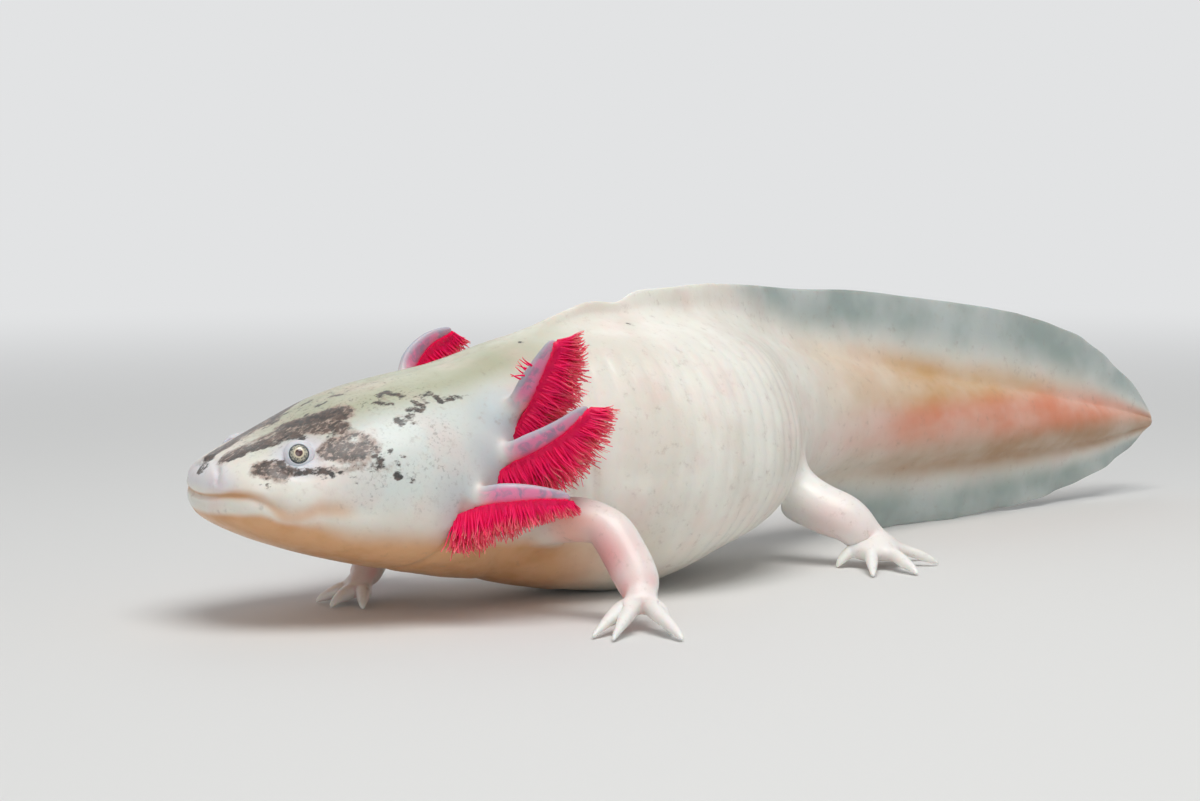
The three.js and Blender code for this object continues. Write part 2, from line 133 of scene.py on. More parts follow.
# gills: stalk from root to tip; filaments hang from one edge of it, towards hang_root at its
# root and hang_tip at its tip; fringe is their length from root to tip
GILLS = {
    "gill_left_upper": {
        "stalk": ((40.8, 10.8, 26.6), (42.9, 14.2, 30.6), (44.2, 16.8, 35.6), (45.4, 18.9, 39.8)),
        "fringe": (3.6, 6.2, 3.4), "hang_root": (1, 0.45, -0.35), "hang_tip": (1, 0.4, 0.1),
        "root": (42.0, 6),
    },
    "gill_left_middle": {
        "stalk": ((37.6, 12.2, 22.2), (40.8, 15.9, 23.6), (44.7, 19.8, 26.6), (47.6, 23.3, 30.6)),
        "fringe": (4.6, 6.6, 3.6), "hang_root": (0.25, 0.15, -1), "hang_tip": (1, 0.35, -0.1),
        "root": (39.2, 8),
    },
    "gill_left_lower": {
        "stalk": ((31.6, 14, 17), (35.2, 18.4, 18), (40.4, 21.2, 18.4), (45.6, 23.2, 17.6)),
        "fringe": (5.6, 4.4, 1.8), "hang_root": (-0.15, 0.1, -1), "hang_tip": (0.8, 0.3, -0.8),
        "root": (34.4, 10),
    },
    "gill_right_upper": {
        "stalk": ((35.8, -10.5, 26.6), (39.4, -15.4, 32.6), (44.2, -16.6, 37.1), (51, -16.6, 38.9)),
        "fringe": (4.6, 6, 3.2), "hang_root": (1, -0.3, -0.4), "hang_tip": (0.7, -0.3, -0.7),
        "root": (39.2, 6),
    },
    "gill_right_middle": {
        "stalk": ((35.4, -12.6, 22.6), (39.2, -17, 24.2), (43.8, -20.4, 26.8), (48.6, -23, 28.8)),
        "fringe": (4.8, 6.4, 3.4), "hang_root": (0.25, -0.15, -1), "hang_tip": (0.9, -0.4, -0.5),
        "root": (39.2, 8),
    },
    "gill_right_lower": {
        "stalk": ((31, -13.6, 17.6), (34.8, -18.4, 19), (40, -21.6, 19), (45.4, -23.4, 17.4)),
        "fringe": (5.4, 4.6, 2), "hang_root": (-0.1, -0.9, -0.7), "hang_tip": (0.7, -0.5, -0.8),
        "root": (34.4, 10),
    },
}
STALK_WIDTHS = (3.1, 2.0, 1.4, 0.7)  # half width of a gill stalk from root to tip
STALK_FLATNESS = 0.5
STALK_SIDES = 8

EYES_AT = {1: (10.9, 10.5, 24.4), -1: (9.7, -10.0, 23.5)}  # left and right
EYE_RADIUS = 1.75
EYE_COLUMN = 5
EYE_GAZE = (-0.36, 0.85, 0.34)  # (back, out, up)
# rings of the lids, from outside: radius and distance before the eye's centre
LID_STEPS = ((2.35, 0.35), (1.6, 1.05), (1.38, 1.12), (1.3, 0.75))

# corners of the skin's cage
HEAD_ROWS = (1.0, 1.8, 3, 4.6, 6.4, 8.0, 9.5, 10.9, 12.4, 14, 15.6, 17.2, 18.8, 20.5, 22.2, 24, 25.8, 27.6,
             29.4, 31.2, 33.2, 35.2, 37.2, 39.6, 42, 44.4, 47, 49.6)
FLANK_END, FLANK_ROWS = 98.0, 24
HIP_ROWS = (101.5, 105.0, 108.5, 112.0)
TAIL_ROWS = 40
ROWS = (*HEAD_ROWS, *np.linspace(HEAD_ROWS[-1], FLANK_END, FLANK_ROWS + 1)[1:], *HIP_ROWS,
        *np.linspace(HIP_ROWS[-1], LENGTH, TAIL_ROWS + 1)[1:])
SNOUT_HEIGHT = 18.9
UPPER_LIP = (0.5, 0.15)  # height over the line of the mouth, and how far it stands out
LOWER_LIP = (0.45, 0.3)  # the same under it, and how far it stands back
MOUTH_DEPTH = 0.85
STALK_STEPS = (0.28, 0.38, 0.5, 0.62, 0.74, 0.85, 0.94)
LIMB_STEPS = (0.16, 0.3, 0.44, 0.56, 0.68, 0.8, 0.9, 1.0)
WRIST_AT, PALM_AT = 0.6, 0.7  # how far along a limb its wrist and the roots of its digits are
PALM_STEPS = (0.35, 0.7)  # shares of the palm
SIDE_TURN = 0.65  # radians from the outer digits to the sides of the palm
# share of a digit and radius there
DIGIT_STEPS = ((0.15, 1.25), (0.42, 1.0), (0.7, 0.72), (0.88, 0.5), (0.98, 0.28))
SKIN_LEVELS = 2


# ---- curves

def interpolate(table, column, at):
    """Smooth curve through a table that never overshoots its rows; column 0 is the position."""
    x = np.array([row[0] for row in table], float)
    y = np.array([row[column] for row in table], float)
    h = np.diff(x)
    slope = np.diff(y) / h
    tangent = np.zeros(len(x))
    tangent[0], tangent[-1] = slope[0], slope[-1]
    for i in range(1, len(x) - 1):
        if slope[i - 1] * slope[i] > 0:
            weights = (2 * h[i] + h[i - 1]) / slope[i - 1] + (h[i] + 2 * h[i - 1]) / slope[i]
            tangent[i] = 3 * (h[i - 1] + h[i]) / weights
    at = np.clip(at, x[0], x[-1])
    i = np.clip(np.searchsorted(x, at, side="right") - 1, 0, len(x) - 2)
    t = (at - x[i]) / h[i]
    return ((2 * t**3 - 3 * t**2 + 1) * y[i] + (t**3 - 2 * t**2 + t) * h[i] * tangent[i]
            + (3 * t**2 - 2 * t**3) * y[i + 1] + (t**3 - t**2) * h[i] * tangent[i + 1])


def rise(x, low, high):
    """0 below low, 1 above high and a smooth step between them."""
    t = np.clip((np.asarray(x, float) - low) / (high - low), 0, 1)
    return t * t * (3 - 2 * t)


def mix(a, b, share):
    return a + (b - a) * share


def evenly(values, t):
    """The value at t, from 0 to 1, on a smooth curve through evenly spaced values."""
    return interpolate([(i / (len(values) - 1), v) for i, v in enumerate(values)], 1, t)


def spline(points, t):
    """Points on a centripetal Catmull-Rom curve through the given points at t, from 0 to 1."""
    points = np.array(points, float)
    points = np.vstack([2 * points[0] - points[1], points, 2 * points[-1] - points[-2]])
    spot = np.clip(np.asarray(t, float), 0, 1) * (len(points) - 3)
    i = np.minimum(spot.astype(int), len(points) - 4)
    w = (spot - i)[..., None]
    p0, p1, p2, p3 = (points[i + k] for k in range(4))
    d0, d1, d2 = (np.sqrt(np.linalg.norm(b - a, axis=-1))[..., None]
                  for a, b in ((p0, p1), (p1, p2), (p2, p3)))
    m1 = ((p1 - p0) / d0 - (p2 - p0) / (d0 + d1) + (p2 - p1) / d1) * d1
    m2 = ((p2 - p1) / d1 - (p3 - p1) / (d1 + d2) + (p3 - p2) / d2) * d1
    return ((2 * w**3 - 3 * w**2 + 1) * p1 + (w**3 - 2 * w**2 + w) * m1
            + (3 * w**2 - 2 * w**3) * p2 + (w**3 - w**2) * m2)


def unit(v):
    v = np.asarray(v, float)
    return v / np.maximum(np.linalg.norm(v, axis=-1, keepdims=True), 1e-9)


def tangents(points, t, step=0.01):
    t = np.asarray(t, float)
    return unit(spline(points, np.minimum(t + step, 1)) - spline(points, np.maximum(t - step, 0)))


BODY_BY_ROOT = [(math.sqrt(row[0]), *row[1:]) for row in BODY]
SPINE_ALONG = np.arange(0, LENGTH + SPINE_STEP / 2, SPINE_STEP)
STEP_TURNS = np.radians(interpolate(HEADING, 1, SPINE_ALONG[:-1] + SPINE_STEP / 2))
SPINE_STEPS = SPINE_STEP * np.stack([np.cos(STEP_TURNS), np.sin(STEP_TURNS)], 1)
SPINE_XY = np.vstack([[SNOUT], np.array(SNOUT) + np.cumsum(SPINE_STEPS, 0)])


def place(along, out, up):
    """The point at a place given by its distance along the spine, out to the left and up."""
    along, out, up = np.broadcast_arrays(*(np.asarray(v, float) for v in (along, out, up)))
    angle = np.radians(interpolate(HEADING, 1, along))
    x = np.interp(along, SPINE_ALONG, SPINE_XY[:, 0]) + out * np.sin(angle)
    y = np.interp(along, SPINE_ALONG, SPINE_XY[:, 1]) - out * np.cos(angle)
    return np.stack([x, y, up], -1)


def places(points):
    return place(*np.array(points, float).T)


def direct(along, direction):
    """A direction given as (back, out, up) at a place on the spine."""
    angle = math.radians(float(interpolate(HEADING, 1, along)))
    back, out, up = direction
    x = back * math.cos(angle) + out * math.sin(angle)
    y = back * math.sin(angle) - out * math.cos(angle)
    return unit((x, y, up))


def measure(points):
    """(along, out, up) of each point: the reverse of place()."""
    angle = np.radians(interpolate(HEADING, 1, SPINE_ALONG))
    along = np.empty(len(points))
    out = np.empty(len(points))
    for start in range(0, len(points), 8000):
        part = points[start:start + 8000, None, :2] - SPINE_XY[None]
        ahead = part[..., 0] * np.cos(angle) + part[..., 1] * np.sin(angle)
        side = part[..., 0] * np.sin(angle) - part[..., 1] * np.cos(angle)
        best = np.argmin(np.abs(ahead) + 0.02 * np.abs(side), 1)
        rows = np.arange(len(best))
        along[start:start + 8000] = SPINE_ALONG[best] + ahead[rows, best]
        out[start:start + 8000] = side[rows, best]
    return along, out, points[:, 2]


# ---- cage of the skin

def body_sizes(along):
    root = np.sqrt(np.maximum(along, 0))
    return [interpolate(BODY_BY_ROOT, column, root) for column in (1, 2, 3, 4)]


def on_body(along, angle):
    """(out, up) on the body's section; angle is in degrees from its top line to its left."""
    width, middle, top, bottom = body_sizes(along)
    power = 2 / interpolate(SQUARENESS, 1, along)
    sine, cosine = np.sin(np.radians(angle)), np.cos(np.radians(angle))
    height = np.where(cosine > 0, top - middle, middle - bottom)
    out = width * np.sign(sine) * np.abs(sine) ** power
    return out, middle + height * np.sign(cosine) * np.abs(cosine) ** power


def column_spot(along, half):
    """(out, up, fin) of the left side's column number half, counted from the top line."""
    over = float(interpolate(FIN_OVER, 1, along))
    under = float(interpolate(FIN_UNDER, 1, along)) if along > FIN_UNDER[0][0] else 0.0
    upper = half <= HALF // 2
    height = over if upper else under
    finned = float(rise(height, 0, FIN_TAKES_OVER))
    from_fin = half if upper else HALF - half
    even = 180 / HALF * from_fin
    body_columns = HALF // 2 - len(FIN_LIFTS)
    if from_fin >= len(FIN_LIFTS):
        foot = FIN_FOOT + (90 - FIN_FOOT) * (from_fin - len(FIN_LIFTS)) / body_columns
    else:
        foot = FIN_FOOT * from_fin / len(FIN_LIFTS)
    angle = mix(even, foot, finned)
    out, up = (float(v) for v in on_body(along, angle if upper else 180 - angle))
    if from_fin < len(FIN_LIFTS):
        width, _, top, bottom = (float(v) for v in body_sizes(along))
        lift = height * FIN_LIFTS[from_fin]
        edge = top + lift if upper else bottom - lift
        out, up = mix(out, min(FIN_HALVES[from_fin], width), finned), mix(up, edge, finned)
        return out, up, finned * FIN_LIFTS[from_fin] * min(height / FIN_CLEAR, 1)
    return out, up, 0.0


def angle_at(along, up):
    """The angle from the top line at which the body's section reaches a height."""
    _, middle, top, bottom = (float(v) for v in body_sizes(along))
    share = (up - middle) / (top - middle if up > middle else middle - bottom)
    power = 2 / float(interpolate(SQUARENESS, 1, along))
    return math.degrees(math.acos(math.copysign(min(abs(share), 1) ** (1 / power), share)))


def mouth_spot(along, half):
    """(out, up, 0) of a column near the line of the mouth, or None away from it."""
    open_by = 1 - float(rise(along, *MOUTH_FADES))
    if open_by == 0 or not EYE_COLUMN < half < MOUTH_COLUMN + 4:
        return None
    line = float(interpolate(MOUTH, 1, along))
    offset = half - MOUTH_COLUMN
    upper, lower = angle_at(along, line + UPPER_LIP[0]), angle_at(along, line - LOWER_LIP[0])
    eye, chin = 180 / HALF * EYE_COLUMN, 180 / HALF * (MOUTH_COLUMN + 4)
    if offset < -1:
        angle = mix(eye, upper, (half - EYE_COLUMN) / (MOUTH_COLUMN - 1 - EYE_COLUMN))
    elif offset > 1:
        angle = mix(lower, chin, (offset - 1) / 3)
    else:
        angle = (upper, angle_at(along, line), lower)[offset + 1]
    angle = mix(180 / HALF * half, angle, open_by)
    out, up = (float(v) for v in on_body(along, angle))
    out += {-1: UPPER_LIP[1], 0: -MOUTH_DEPTH, 1: -LOWER_LIP[1]}.get(offset, 0) * open_by
    return out, up, 0.0


# what each corner of the cage says: how far it is part of a leg, how far along that leg, how far along
# a gill stalk, towards which edge of it (1 is the fringe), part of a fin and part of an eye's rim
MARKS = ("limb", "reach", "gill", "edge", "fin", "lid")


class Cage:
    """Corners, faces and marks of the skin before it is smoothed."""

    def __init__(self):
        self.points, self.faces, self.holes = [], [], set()
        self.marks = {name: [] for name in MARKS}

    def add(self, points, **marks):
        first = len(self.points)
        self.points += [np.asarray(point, float) for point in points]
        for name, values in self.marks.items():
            values += list(np.broadcast_to(marks.get(name, 0.0), len(points)))
        return list(range(first, len(self.points)))

    def opening(self, rows, columns):
        """Leaves out the body's faces between two rows and two columns. Returns the loop round them."""
        (r0, r1), (c0, c1) = rows, columns
        self.holes |= {(r, c % COLUMNS) for r in range(r0, r1) for c in range(c0, c1)}
        loop = [(r0, c) for c in range(c0, c1)] + [(r, c1) for r in range(r0, r1)]
        loop += [(r1, c) for c in range(c1, c0, -1)] + [(r, c0) for r in range(r1, r0, -1)]
        return [r * COLUMNS + c % COLUMNS for r, c in loop]

    def matched(self, lower, upper):
        """The corners of a ring from the turn and in the direction that suit a loop best."""
        below = np.array([self.points[i] for i in lower])
        turns = [way[k:] + way[:k] for way in (list(upper), list(upper)[::-1]) for k in range(len(upper))]
        return min(turns, key=lambda way: np.sum((np.array(way) - below) ** 2))

    def toward(self, loop, ring, share):
        """The corners on the way from a loop to a ring."""
        return [mix(self.points[i], point, share) for i, point in zip(loop, self.matched(loop, ring))]

    def bridge(self, lower, upper):
        """Faces between two loops with as many corners, joined the shortest way."""
        index = {tuple(self.points[i]): i for i in upper}
        upper = [index[tuple(point)] for point in self.matched(lower, [self.points[i] for i in upper])]
        for i in range(len(lower)):
            j = (i + 1) % len(lower)
            self.faces.append((lower[i], lower[j], upper[j], upper[i]))
        return upper

    def close(self, loop, point, **marks):
        """Closes a loop with four-sided faces round one corner."""
        pole, = self.add([point], **marks)
        for i in range(0, len(loop), 2):
            self.faces.append((loop[i], loop[i + 1], loop[(i + 2) % len(loop)], pole))


def lay_body(cage):
    """The rows of the body, which are the cage's first corners."""
    for along in ROWS:
        spots = [mouth_spot(along, half) or column_spot(along, half) for half in range(HALF + 1)]
        ring = spots + [(-out, up, fin) for out, up, fin in spots[HALF - 1:0:-1]]
        out, up, fin = np.array(ring).T
        cage.add(place(along, out, up), fin=fin)


def snout_spot(across, down, middle):
    """The place in the snout's grid that is a number of steps across and down from its middle."""
    reach = max(abs(across), abs(down))
    share = reach / middle
    along = ROWS[0] * share**2
    if abs(across) >= abs(down):
        angle = 90 + 45 * down / max(reach, 1)
    else:
        turn = 45 * abs(across) / reach
        angle = turn if down < 0 else 180 - turn
    out, up = (float(v) for v in on_body(along, angle)) if reach else (0, SNOUT_HEIGHT)
    level = float(interpolate(MOUTH, 1, along))
    if down == 0:
        up = level
        along += MOUTH_DEPTH * math.sqrt(1 - share**2)
        out -= MOUTH_DEPTH * share
    elif down == -1:
        up = level + UPPER_LIP[0]
        along -= UPPER_LIP[1] * (1 - share)
    elif down == 1:
        up = level - LOWER_LIP[0]
        along += LOWER_LIP[1] * (1 - share)
    return place(along, -out if across > 0 else out, up)


def close_snout(cage):
    """A grid of faces over the front of the snout, crossed by the line of the mouth."""
    side = COLUMNS // 4
    middle = side // 2
    grid = {}
    for k in range(side + 1):
        grid[k, 0] = (middle - k) % COLUMNS
        grid[0, k] = middle + k
        grid[k, side] = middle + side + k
        grid[side, k] = (COLUMNS - middle - k) % COLUMNS
    for i in range(1, side):
        for j in range(1, side):
            grid[i, j], = cage.add([snout_spot(i - middle, j - middle, middle)])
    for i in range(side):
        for j in range(side):
            cage.faces.append((grid[i, j], grid[i + 1, j], grid[i + 1, j + 1], grid[i, j + 1]))


def close_tail(cage):
    """Faces across the last row of the tail."""
    first = (len(ROWS) - 1) * COLUMNS
    cage.faces.append((first, first + 1, first + COLUMNS - 1))
    for k in range(1, HALF - 1):
        cage.faces.append(tuple(first + c for c in (k, k + 1, COLUMNS - k - 1, COLUMNS - k)))
    cage.faces.append((first + HALF, first + HALF + 1, first + HALF - 1))


def ring_round(centre, first, second, radii, count, start=0.0):
    """Corners round a centre, spread on two directions. The smoothed skin keeps the radii."""
    swell = 3 / (2 + math.cos(2 * math.pi / count))
    angles = np.radians(start) + 2 * math.pi * np.arange(count) / count
    return (centre + np.outer(np.cos(angles), first) * radii[0] * swell
            + np.outer(np.sin(angles), second) * radii[1] * swell)


def row_near(along):
    return int(np.argmin(np.abs(np.array(ROWS) - along)))


def columns_of(side, first, last):
    """A span of columns on the left side, or the same span on the right."""
    return (first, last) if side > 0 else (COLUMNS - last, COLUMNS - first)


def grow_stalk(cage, name, gill):
    """One gill stalk, grown out of the side of the neck."""
    side = 1 if "left" in name else -1
    row, column = row_near(gill["root"][0]), gill["root"][1]
    loop = cage.opening((row - 1, row + 1), columns_of(side, column - 1, column + 1))
    line = places(gill["stalk"])
    along = gill["stalk"][0][0]
    for t in STALK_STEPS:
        centre, tangent = spline(line, t), tangents(line, t)
        hang = hang_at(gill, along, t)
        hang = unit(hang - tangent * (hang @ tangent))
        width = float(evenly(STALK_WIDTHS, t))
        flat = mix(0.8, STALK_FLATNESS, min(3 * t, 1))
        ring = ring_round(centre, hang, np.cross(tangent, hang), (width, width * flat), STALK_SIDES)
        edge = np.cos(2 * math.pi * np.arange(STALK_SIDES) / STALK_SIDES)
        if t == STALK_STEPS[0]:
            loop = cage.bridge(loop, cage.add(cage.toward(loop, ring, 0.5), gill=0.4 * t))
        loop = cage.bridge(loop, cage.add(ring, gill=t, edge=edge))
    cage.close(loop, line[-1] + tangent * 0.3, gill=1.0)


def hang_at(gill, along, t):
    """The direction in which filaments hang at t, from 0 at a stalk's root to 1 at its tip."""
    return unit(mix(direct(along, gill["hang_root"]), direct(along, gill["hang_tip"]), t))


def grow_limb(cage, name, limb):
    """One leg with its hand or foot, grown out of the side of the body."""
    side = 1 if "left" in name else -1
    row, middle = row_near(limb["root"][0]), limb["root"][1]
    rows = (row - 1, row - 1 + limb["rows"])
    columns = columns_of(side, int(middle - PATCH_COLUMNS / 2), int(middle + PATCH_COLUMNS / 2))
    loop = cage.opening(rows, columns)
    count = len(loop)
    line = places(limb["points"])
    wrist = line[-1]
    tips = places([(along, out, 0) for along, out in limb["digits"]])
    heading = unit(np.sum(unit((tips - wrist) * (1, 1, 0)), 0))
    across = np.cross((0, 0, 1), heading)
    frames, first = [], across
    for t in LIMB_STEPS[::-1]:
        tangent = tangents(line, t)
        first = unit(first - tangent * (first @ tangent))
        frames.append((t, tangent, first))
    for t, tangent, first in frames[::-1]:
        radius = float(evenly(limb["radii"], t))
        second = np.cross(tangent, first)
        start = 180 / count
        flat = mix(1.0, limb["flat"], float(rise(t, 0.5, 1)))
        ring = ring_round(spline(line, t), first, second, (radius, radius * flat), count, start)
        loop = cage.bridge(loop, cage.add(ring, limb=rise(t, 0, 0.3), reach=WRIST_AT * t))
    add_digits(cage, limb, loop, wrist, tips, heading, across)


def add_digits(cage, limb, loop, wrist, tips, heading, across):
    """The palm or sole with its webs, opened into one four-sided digit for each tip."""
    centre = wrist * (1, 1, 0)
    turn = np.arctan2((tips - centre) @ across, (tips - centre) @ heading)
    order = np.argsort(turn)
    turn, tips = turn[order], tips[order]
    shares = np.array(limb["webs"] if order[0] < order[-1] else limb["webs"][::-1])[:, None]
    ends = np.array([turn[0] - SIDE_TURN, turn[-1] + SIDE_TURN])
    ends = centre + limb["palm"] * (np.outer(np.cos(ends), heading) + np.outer(np.sin(ends), across))
    webs = mix(centre, (tips[1:] + tips[:-1]) / 2, shares)
    rim = np.vstack([ends[:1], webs, ends[1:]])
    upper, lower = (list(rim + (0, 0, height)) for height in limb["edges"])
    edge = upper + lower[::-1]
    for share in PALM_STEPS:
        ring = cage.toward(loop, edge, share)
        loop = cage.bridge(loop, cage.add(ring, limb=1, reach=mix(WRIST_AT, PALM_AT, share)))
    ring = cage.add(edge, limb=1, reach=PALM_AT)
    cage.bridge(loop, ring)
    upper, lower = ring[:len(rim)], ring[len(rim):][::-1]
    for k, tip in enumerate(tips):
        base = [upper[k], upper[k + 1], lower[k + 1], lower[k]]
        root = np.mean([cage.points[i] for i in base], 0)
        aim = unit((tip - root) * (1, 1, 0))
        beside = np.cross((0, 0, 1), aim)
        for share, radius in DIGIT_STEPS:
            spot = mix(root, tip, share)
            spot[2] = mix(root[2], radius, share ** 0.8)
            ring = ring_round(spot, beside, np.array((0, 0, 1.0)), (radius, radius), 4, 45)
            base = cage.bridge(base, cage.add(ring, limb=1, reach=mix(PALM_AT, 1, share)))
        cage.faces.append(tuple(base))


def eye_frame(side):
    """(centre, gaze, forward, upward) of an eye."""
    along, out, up = EYES_AT[side]
    centre = place(along, out, up)
    back, sideways, upwards = EYE_GAZE
    gaze = direct(along, (back, side * sideways, upwards))
    forward = direct(along, (-1, 0, 0))
    forward = unit(forward - gaze * (forward @ gaze))
    return centre, gaze, forward, np.cross(gaze, forward)


def sink_eye(cage, side):
    """The rim of an eye and the socket behind the ball."""
    row = row_near(EYES_AT[1][0])
    loop = cage.opening((row - 1, row + 1), columns_of(side, EYE_COLUMN - 1, EYE_COLUMN + 1))
    centre, gaze, forward, upward = eye_frame(side)
    for radius, depth in LID_STEPS:
        ring = ring_round(centre + gaze * depth, forward, upward, (radius, radius), 8)
        loop = cage.bridge(loop, cage.add(ring, lid=1))
    cage.close(loop, centre - gaze * EYE_RADIUS, lid=1)


def make_cage():
    cage = Cage()
    lay_body(cage)
    close_snout(cage)
    close_tail(cage)
    for side in (1, -1):
        sink_eye(cage, side)
    for name, gill in GILLS.items():
        grow_stalk(cage, name, gill)
    for name, limb in LIMBS.items():
        grow_limb(cage, name, limb)
    for r in range(len(ROWS) - 1):
        for c in range(COLUMNS):
            if (r, c) not in cage.holes:
                d = (c + 1) % COLUMNS
                cage.faces.append(tuple(q * COLUMNS + k for q, k in ((r, c), (r + 1, c), (r + 1, d), (r, d))))
    return cage


# ---- meshes

def make_object(name, points, faces):
    """A mesh object from points in millimetres."""
    mesh = bpy.data.meshes.new(name)
    mesh.from_pydata([tuple(p) for p in np.asarray(points) * MM], [], faces)
    piece = bpy.data.objects.new(name, mesh)
    bpy.context.scene.collection.objects.link(piece)
    return piece


def tidy_mesh(mesh):
    """Drops corners without faces and turns every face outwards."""
    work = bmesh.new()
    work.from_mesh(mesh)
    bmesh.ops.delete(work, geom=[v for v in work.verts if not v.link_faces], context="VERTS")
    bmesh.ops.recalc_face_normals(work, faces=work.faces)
    work.to_mesh(mesh)
    work.free()


def keep_marks(mesh, marks):
    """Stores one number for each corner of a mesh under each name."""
    for name, values in marks.items():
        layer = mesh.attributes.get(name) or mesh.attributes.new(name, "FLOAT", "POINT")
        layer.data.foreach_set("value", np.asarray(values, np.float32))


def read_field(items, field, width, kind=np.float32):
    """One field of all items of a mesh, such as the places of its corners."""
    values = np.empty(len(items) * width, kind)
    items.foreach_get(field, values)
    return values


def read_marks(mesh, name):
    return read_field(mesh.attributes[name].data, "value", 1).astype(float)


def corners(mesh):
    return read_field(mesh.vertices, "co", 3).reshape(-1, 3).astype(float) / MM


def set_corners(mesh, points):
    mesh.vertices.foreach_set("co", (points * MM).astype(np.float32).ravel())
    mesh.update()


def finish_mesh(mesh, material):
    """Smooth shading and the material."""
    mesh.polygons.foreach_set("use_smooth", [True] * len(mesh.polygons))
    mesh.materials.append(material)


def evaluated(piece):
    """The piece's mesh with its modifiers applied, in place of the piece's own mesh."""
    graph = bpy.context.evaluated_depsgraph_get()
    mesh = bpy.data.meshes.new_from_object(piece.evaluated_get(graph), depsgraph=graph)
    piece.modifiers.clear()
    piece.data = mesh
    return mesh


# ---- relief and markings of the skin

# a stroke is its half width, its strength and its points, each (along, degrees from the top line)
LINES = (  # dark lines and flecks of the head's left side
    (0.5, 1.0, (3.5, 19), (4.7, 20), (5.9, 18), (6.8, 20), (8, 22), (9.1, 24), (10.3, 24), (11.3, 25),
     (12.3, 32)),
    (0.5, 0.6, (3.1, 9), (4.5, 6), (5.4, 7), (6.4, 9), (7.5, 10), (8.4, 12), (9.8, 13), (11.3, 12)),
    (0.4, 0.6, (4.7, 14), (5.6, 13), (6.6, 15), (8, 17)),
    (0.75, 0.92, (11.9, 6), (12.9, 11), (13.9, 14), (15.2, 16), (16.4, 18), (17.6, 20), (18.3, 27)),
    (0.5, 0.95, (12.1, 9), (13.6, 16), (15.4, 20), (17.2, 25), (18.4, 30)),
    (0.5, 0.7, (18.1, 18), (18.9, 22)), (0.5, 0.85, (16.9, -4), (18.1, -4)),
    (0.4, 0.85, (20, 1), (20.9, 4)), (0.4, 0.7, (10.4, -3), (12.1, -2)),
    (0.4, 0.75, (13.4, -9), (15.2, -6)), (0.4, 0.6, (19.4, -3), (20.8, -4)),
    (0.42, 0.9, (6.4, 47), (7.6, 46), (8.1, 51), (8.7, 57), (9.5, 62), (10.6, 64), (11.7, 66), (13, 70)),
    (0.6, 0.45, (6.0, 55), (7.0, 56), (7.8, 59)), (0.45, 0.5, (8.4, 65), (9.9, 67)),
    (0.3, 0.6, (6.5, 69), (7.3, 69)), (0.35, 0.6, (4.9, 73)), (0.35, 0.8, (6, 75)),
    (0.3, 0.7, (15.1, 41), (16.4, 40)), (0.3, 0.9, (15.8, 49), (16.7, 49)),
    (0.3, 0.9, (17.3, 52), (18.5, 60)), (0.3, 0.8, (14.4, 59), (15, 59)),
    (0.4, 0.75, (16, 63), (16.6, 65)), (0.3, 0.9, (12.5, 64), (14, 71)),
    (0.45, 0.55, (12.6, 65), (13.9, 69), (15.8, 71)), (0.3, 0.7, (16.3, 74), (17, 75)),
    (0.3, 0.5, (16.6, 81), (17.1, 80)), (0.4, 0.8, (18.8, 54), (19.5, 54)),
    (0.3, 0.65, (17.2, 45), (17.8, 46)), (0.35, 0.6, (17.4, 39), (18.6, 41)),
    (0.3, 0.55, (18.7, 45), (18.4, 48)), (0.35, 0.75, (18.2, 59), (18.2, 64)),
    (0.35, 0.85, (20, 63), (20.8, 66)), (0.3, 0.85, (19.4, 68), (20.2, 68), (20.9, 70)),
    (0.3, 0.75, (19.2, 71), (20, 72)), (0.45, 0.8, (22.2, 61)), (0.4, 0.8, (22.9, 68), (23, 70)),
    (0.4, 0.65, (23.8, 65)), (0.35, 0.6, (22, 72), (22.2, 74)), (0.4, 1.0, (22.7, 75)),
    (0.4, 0.65, (23.8, 76)), (0.45, 0.8, (24.6, 77)), (0.35, 0.45, (25.5, 72), (26.3, 70), (27.1, 70)),
    (0.4, 0.4, (28.4, 76)), (0.3, 0.5, (27.8, 78), (28.7, 87)),
    (0.35, 1.0, (24.4, 22), (25.5, 20), (26.3, 24), (26.9, 27)), (0.35, 0.6, (24.2, 24), (25.3, 27)),
    (0.35, 0.7, (22.9, 27), (23.5, 27)), (0.45, 0.85, (23.8, 29), (25.1, 32)),
    (0.3, 0.4, (24, 34), (24.6, 36)), (0.3, 0.65, (27.4, 28), (28.3, 29)),
    (0.3, 0.8, (28.9, 30), (30.3, 31)), (0.35, 0.9, (30.4, 31), (31.6, 30)),
    (0.35, 0.9, (28.3, 34), (29.2, 39)), (0.3, 0.7, (29.7, 34), (30.3, 37)),
    (0.35, 0.9, (26.8, 39), (27.7, 39), (28.8, 41)), (0.35, 0.9, (26.3, 43), (27.1, 43)),
    (0.45, 0.95, (24.6, 44), (25.1, 46)), (0.35, 0.85, (25.5, 45), (26.3, 45), (26.9, 47)),
    (0.4, 0.95, (32, 34), (32.1, 37)), (0.3, 0.65, (33.4, 33), (33.8, 35)),
    (0.3, 0.9, (33.2, 37), (34.1, 38)), (0.3, 0.9, (34.2, 36), (35.4, 38)),
    (0.3, 0.6, (35.5, 38), (36.6, 38)),
)
RIGHT_LINES = (  # the dark stripe from the right nostril to the right eye
    (0.95, 1.0, (10, -16), (8.5, -14), (6.9, -13), (5, -11), (3.4, -9), (1.9, -6), (1, -2)),
)
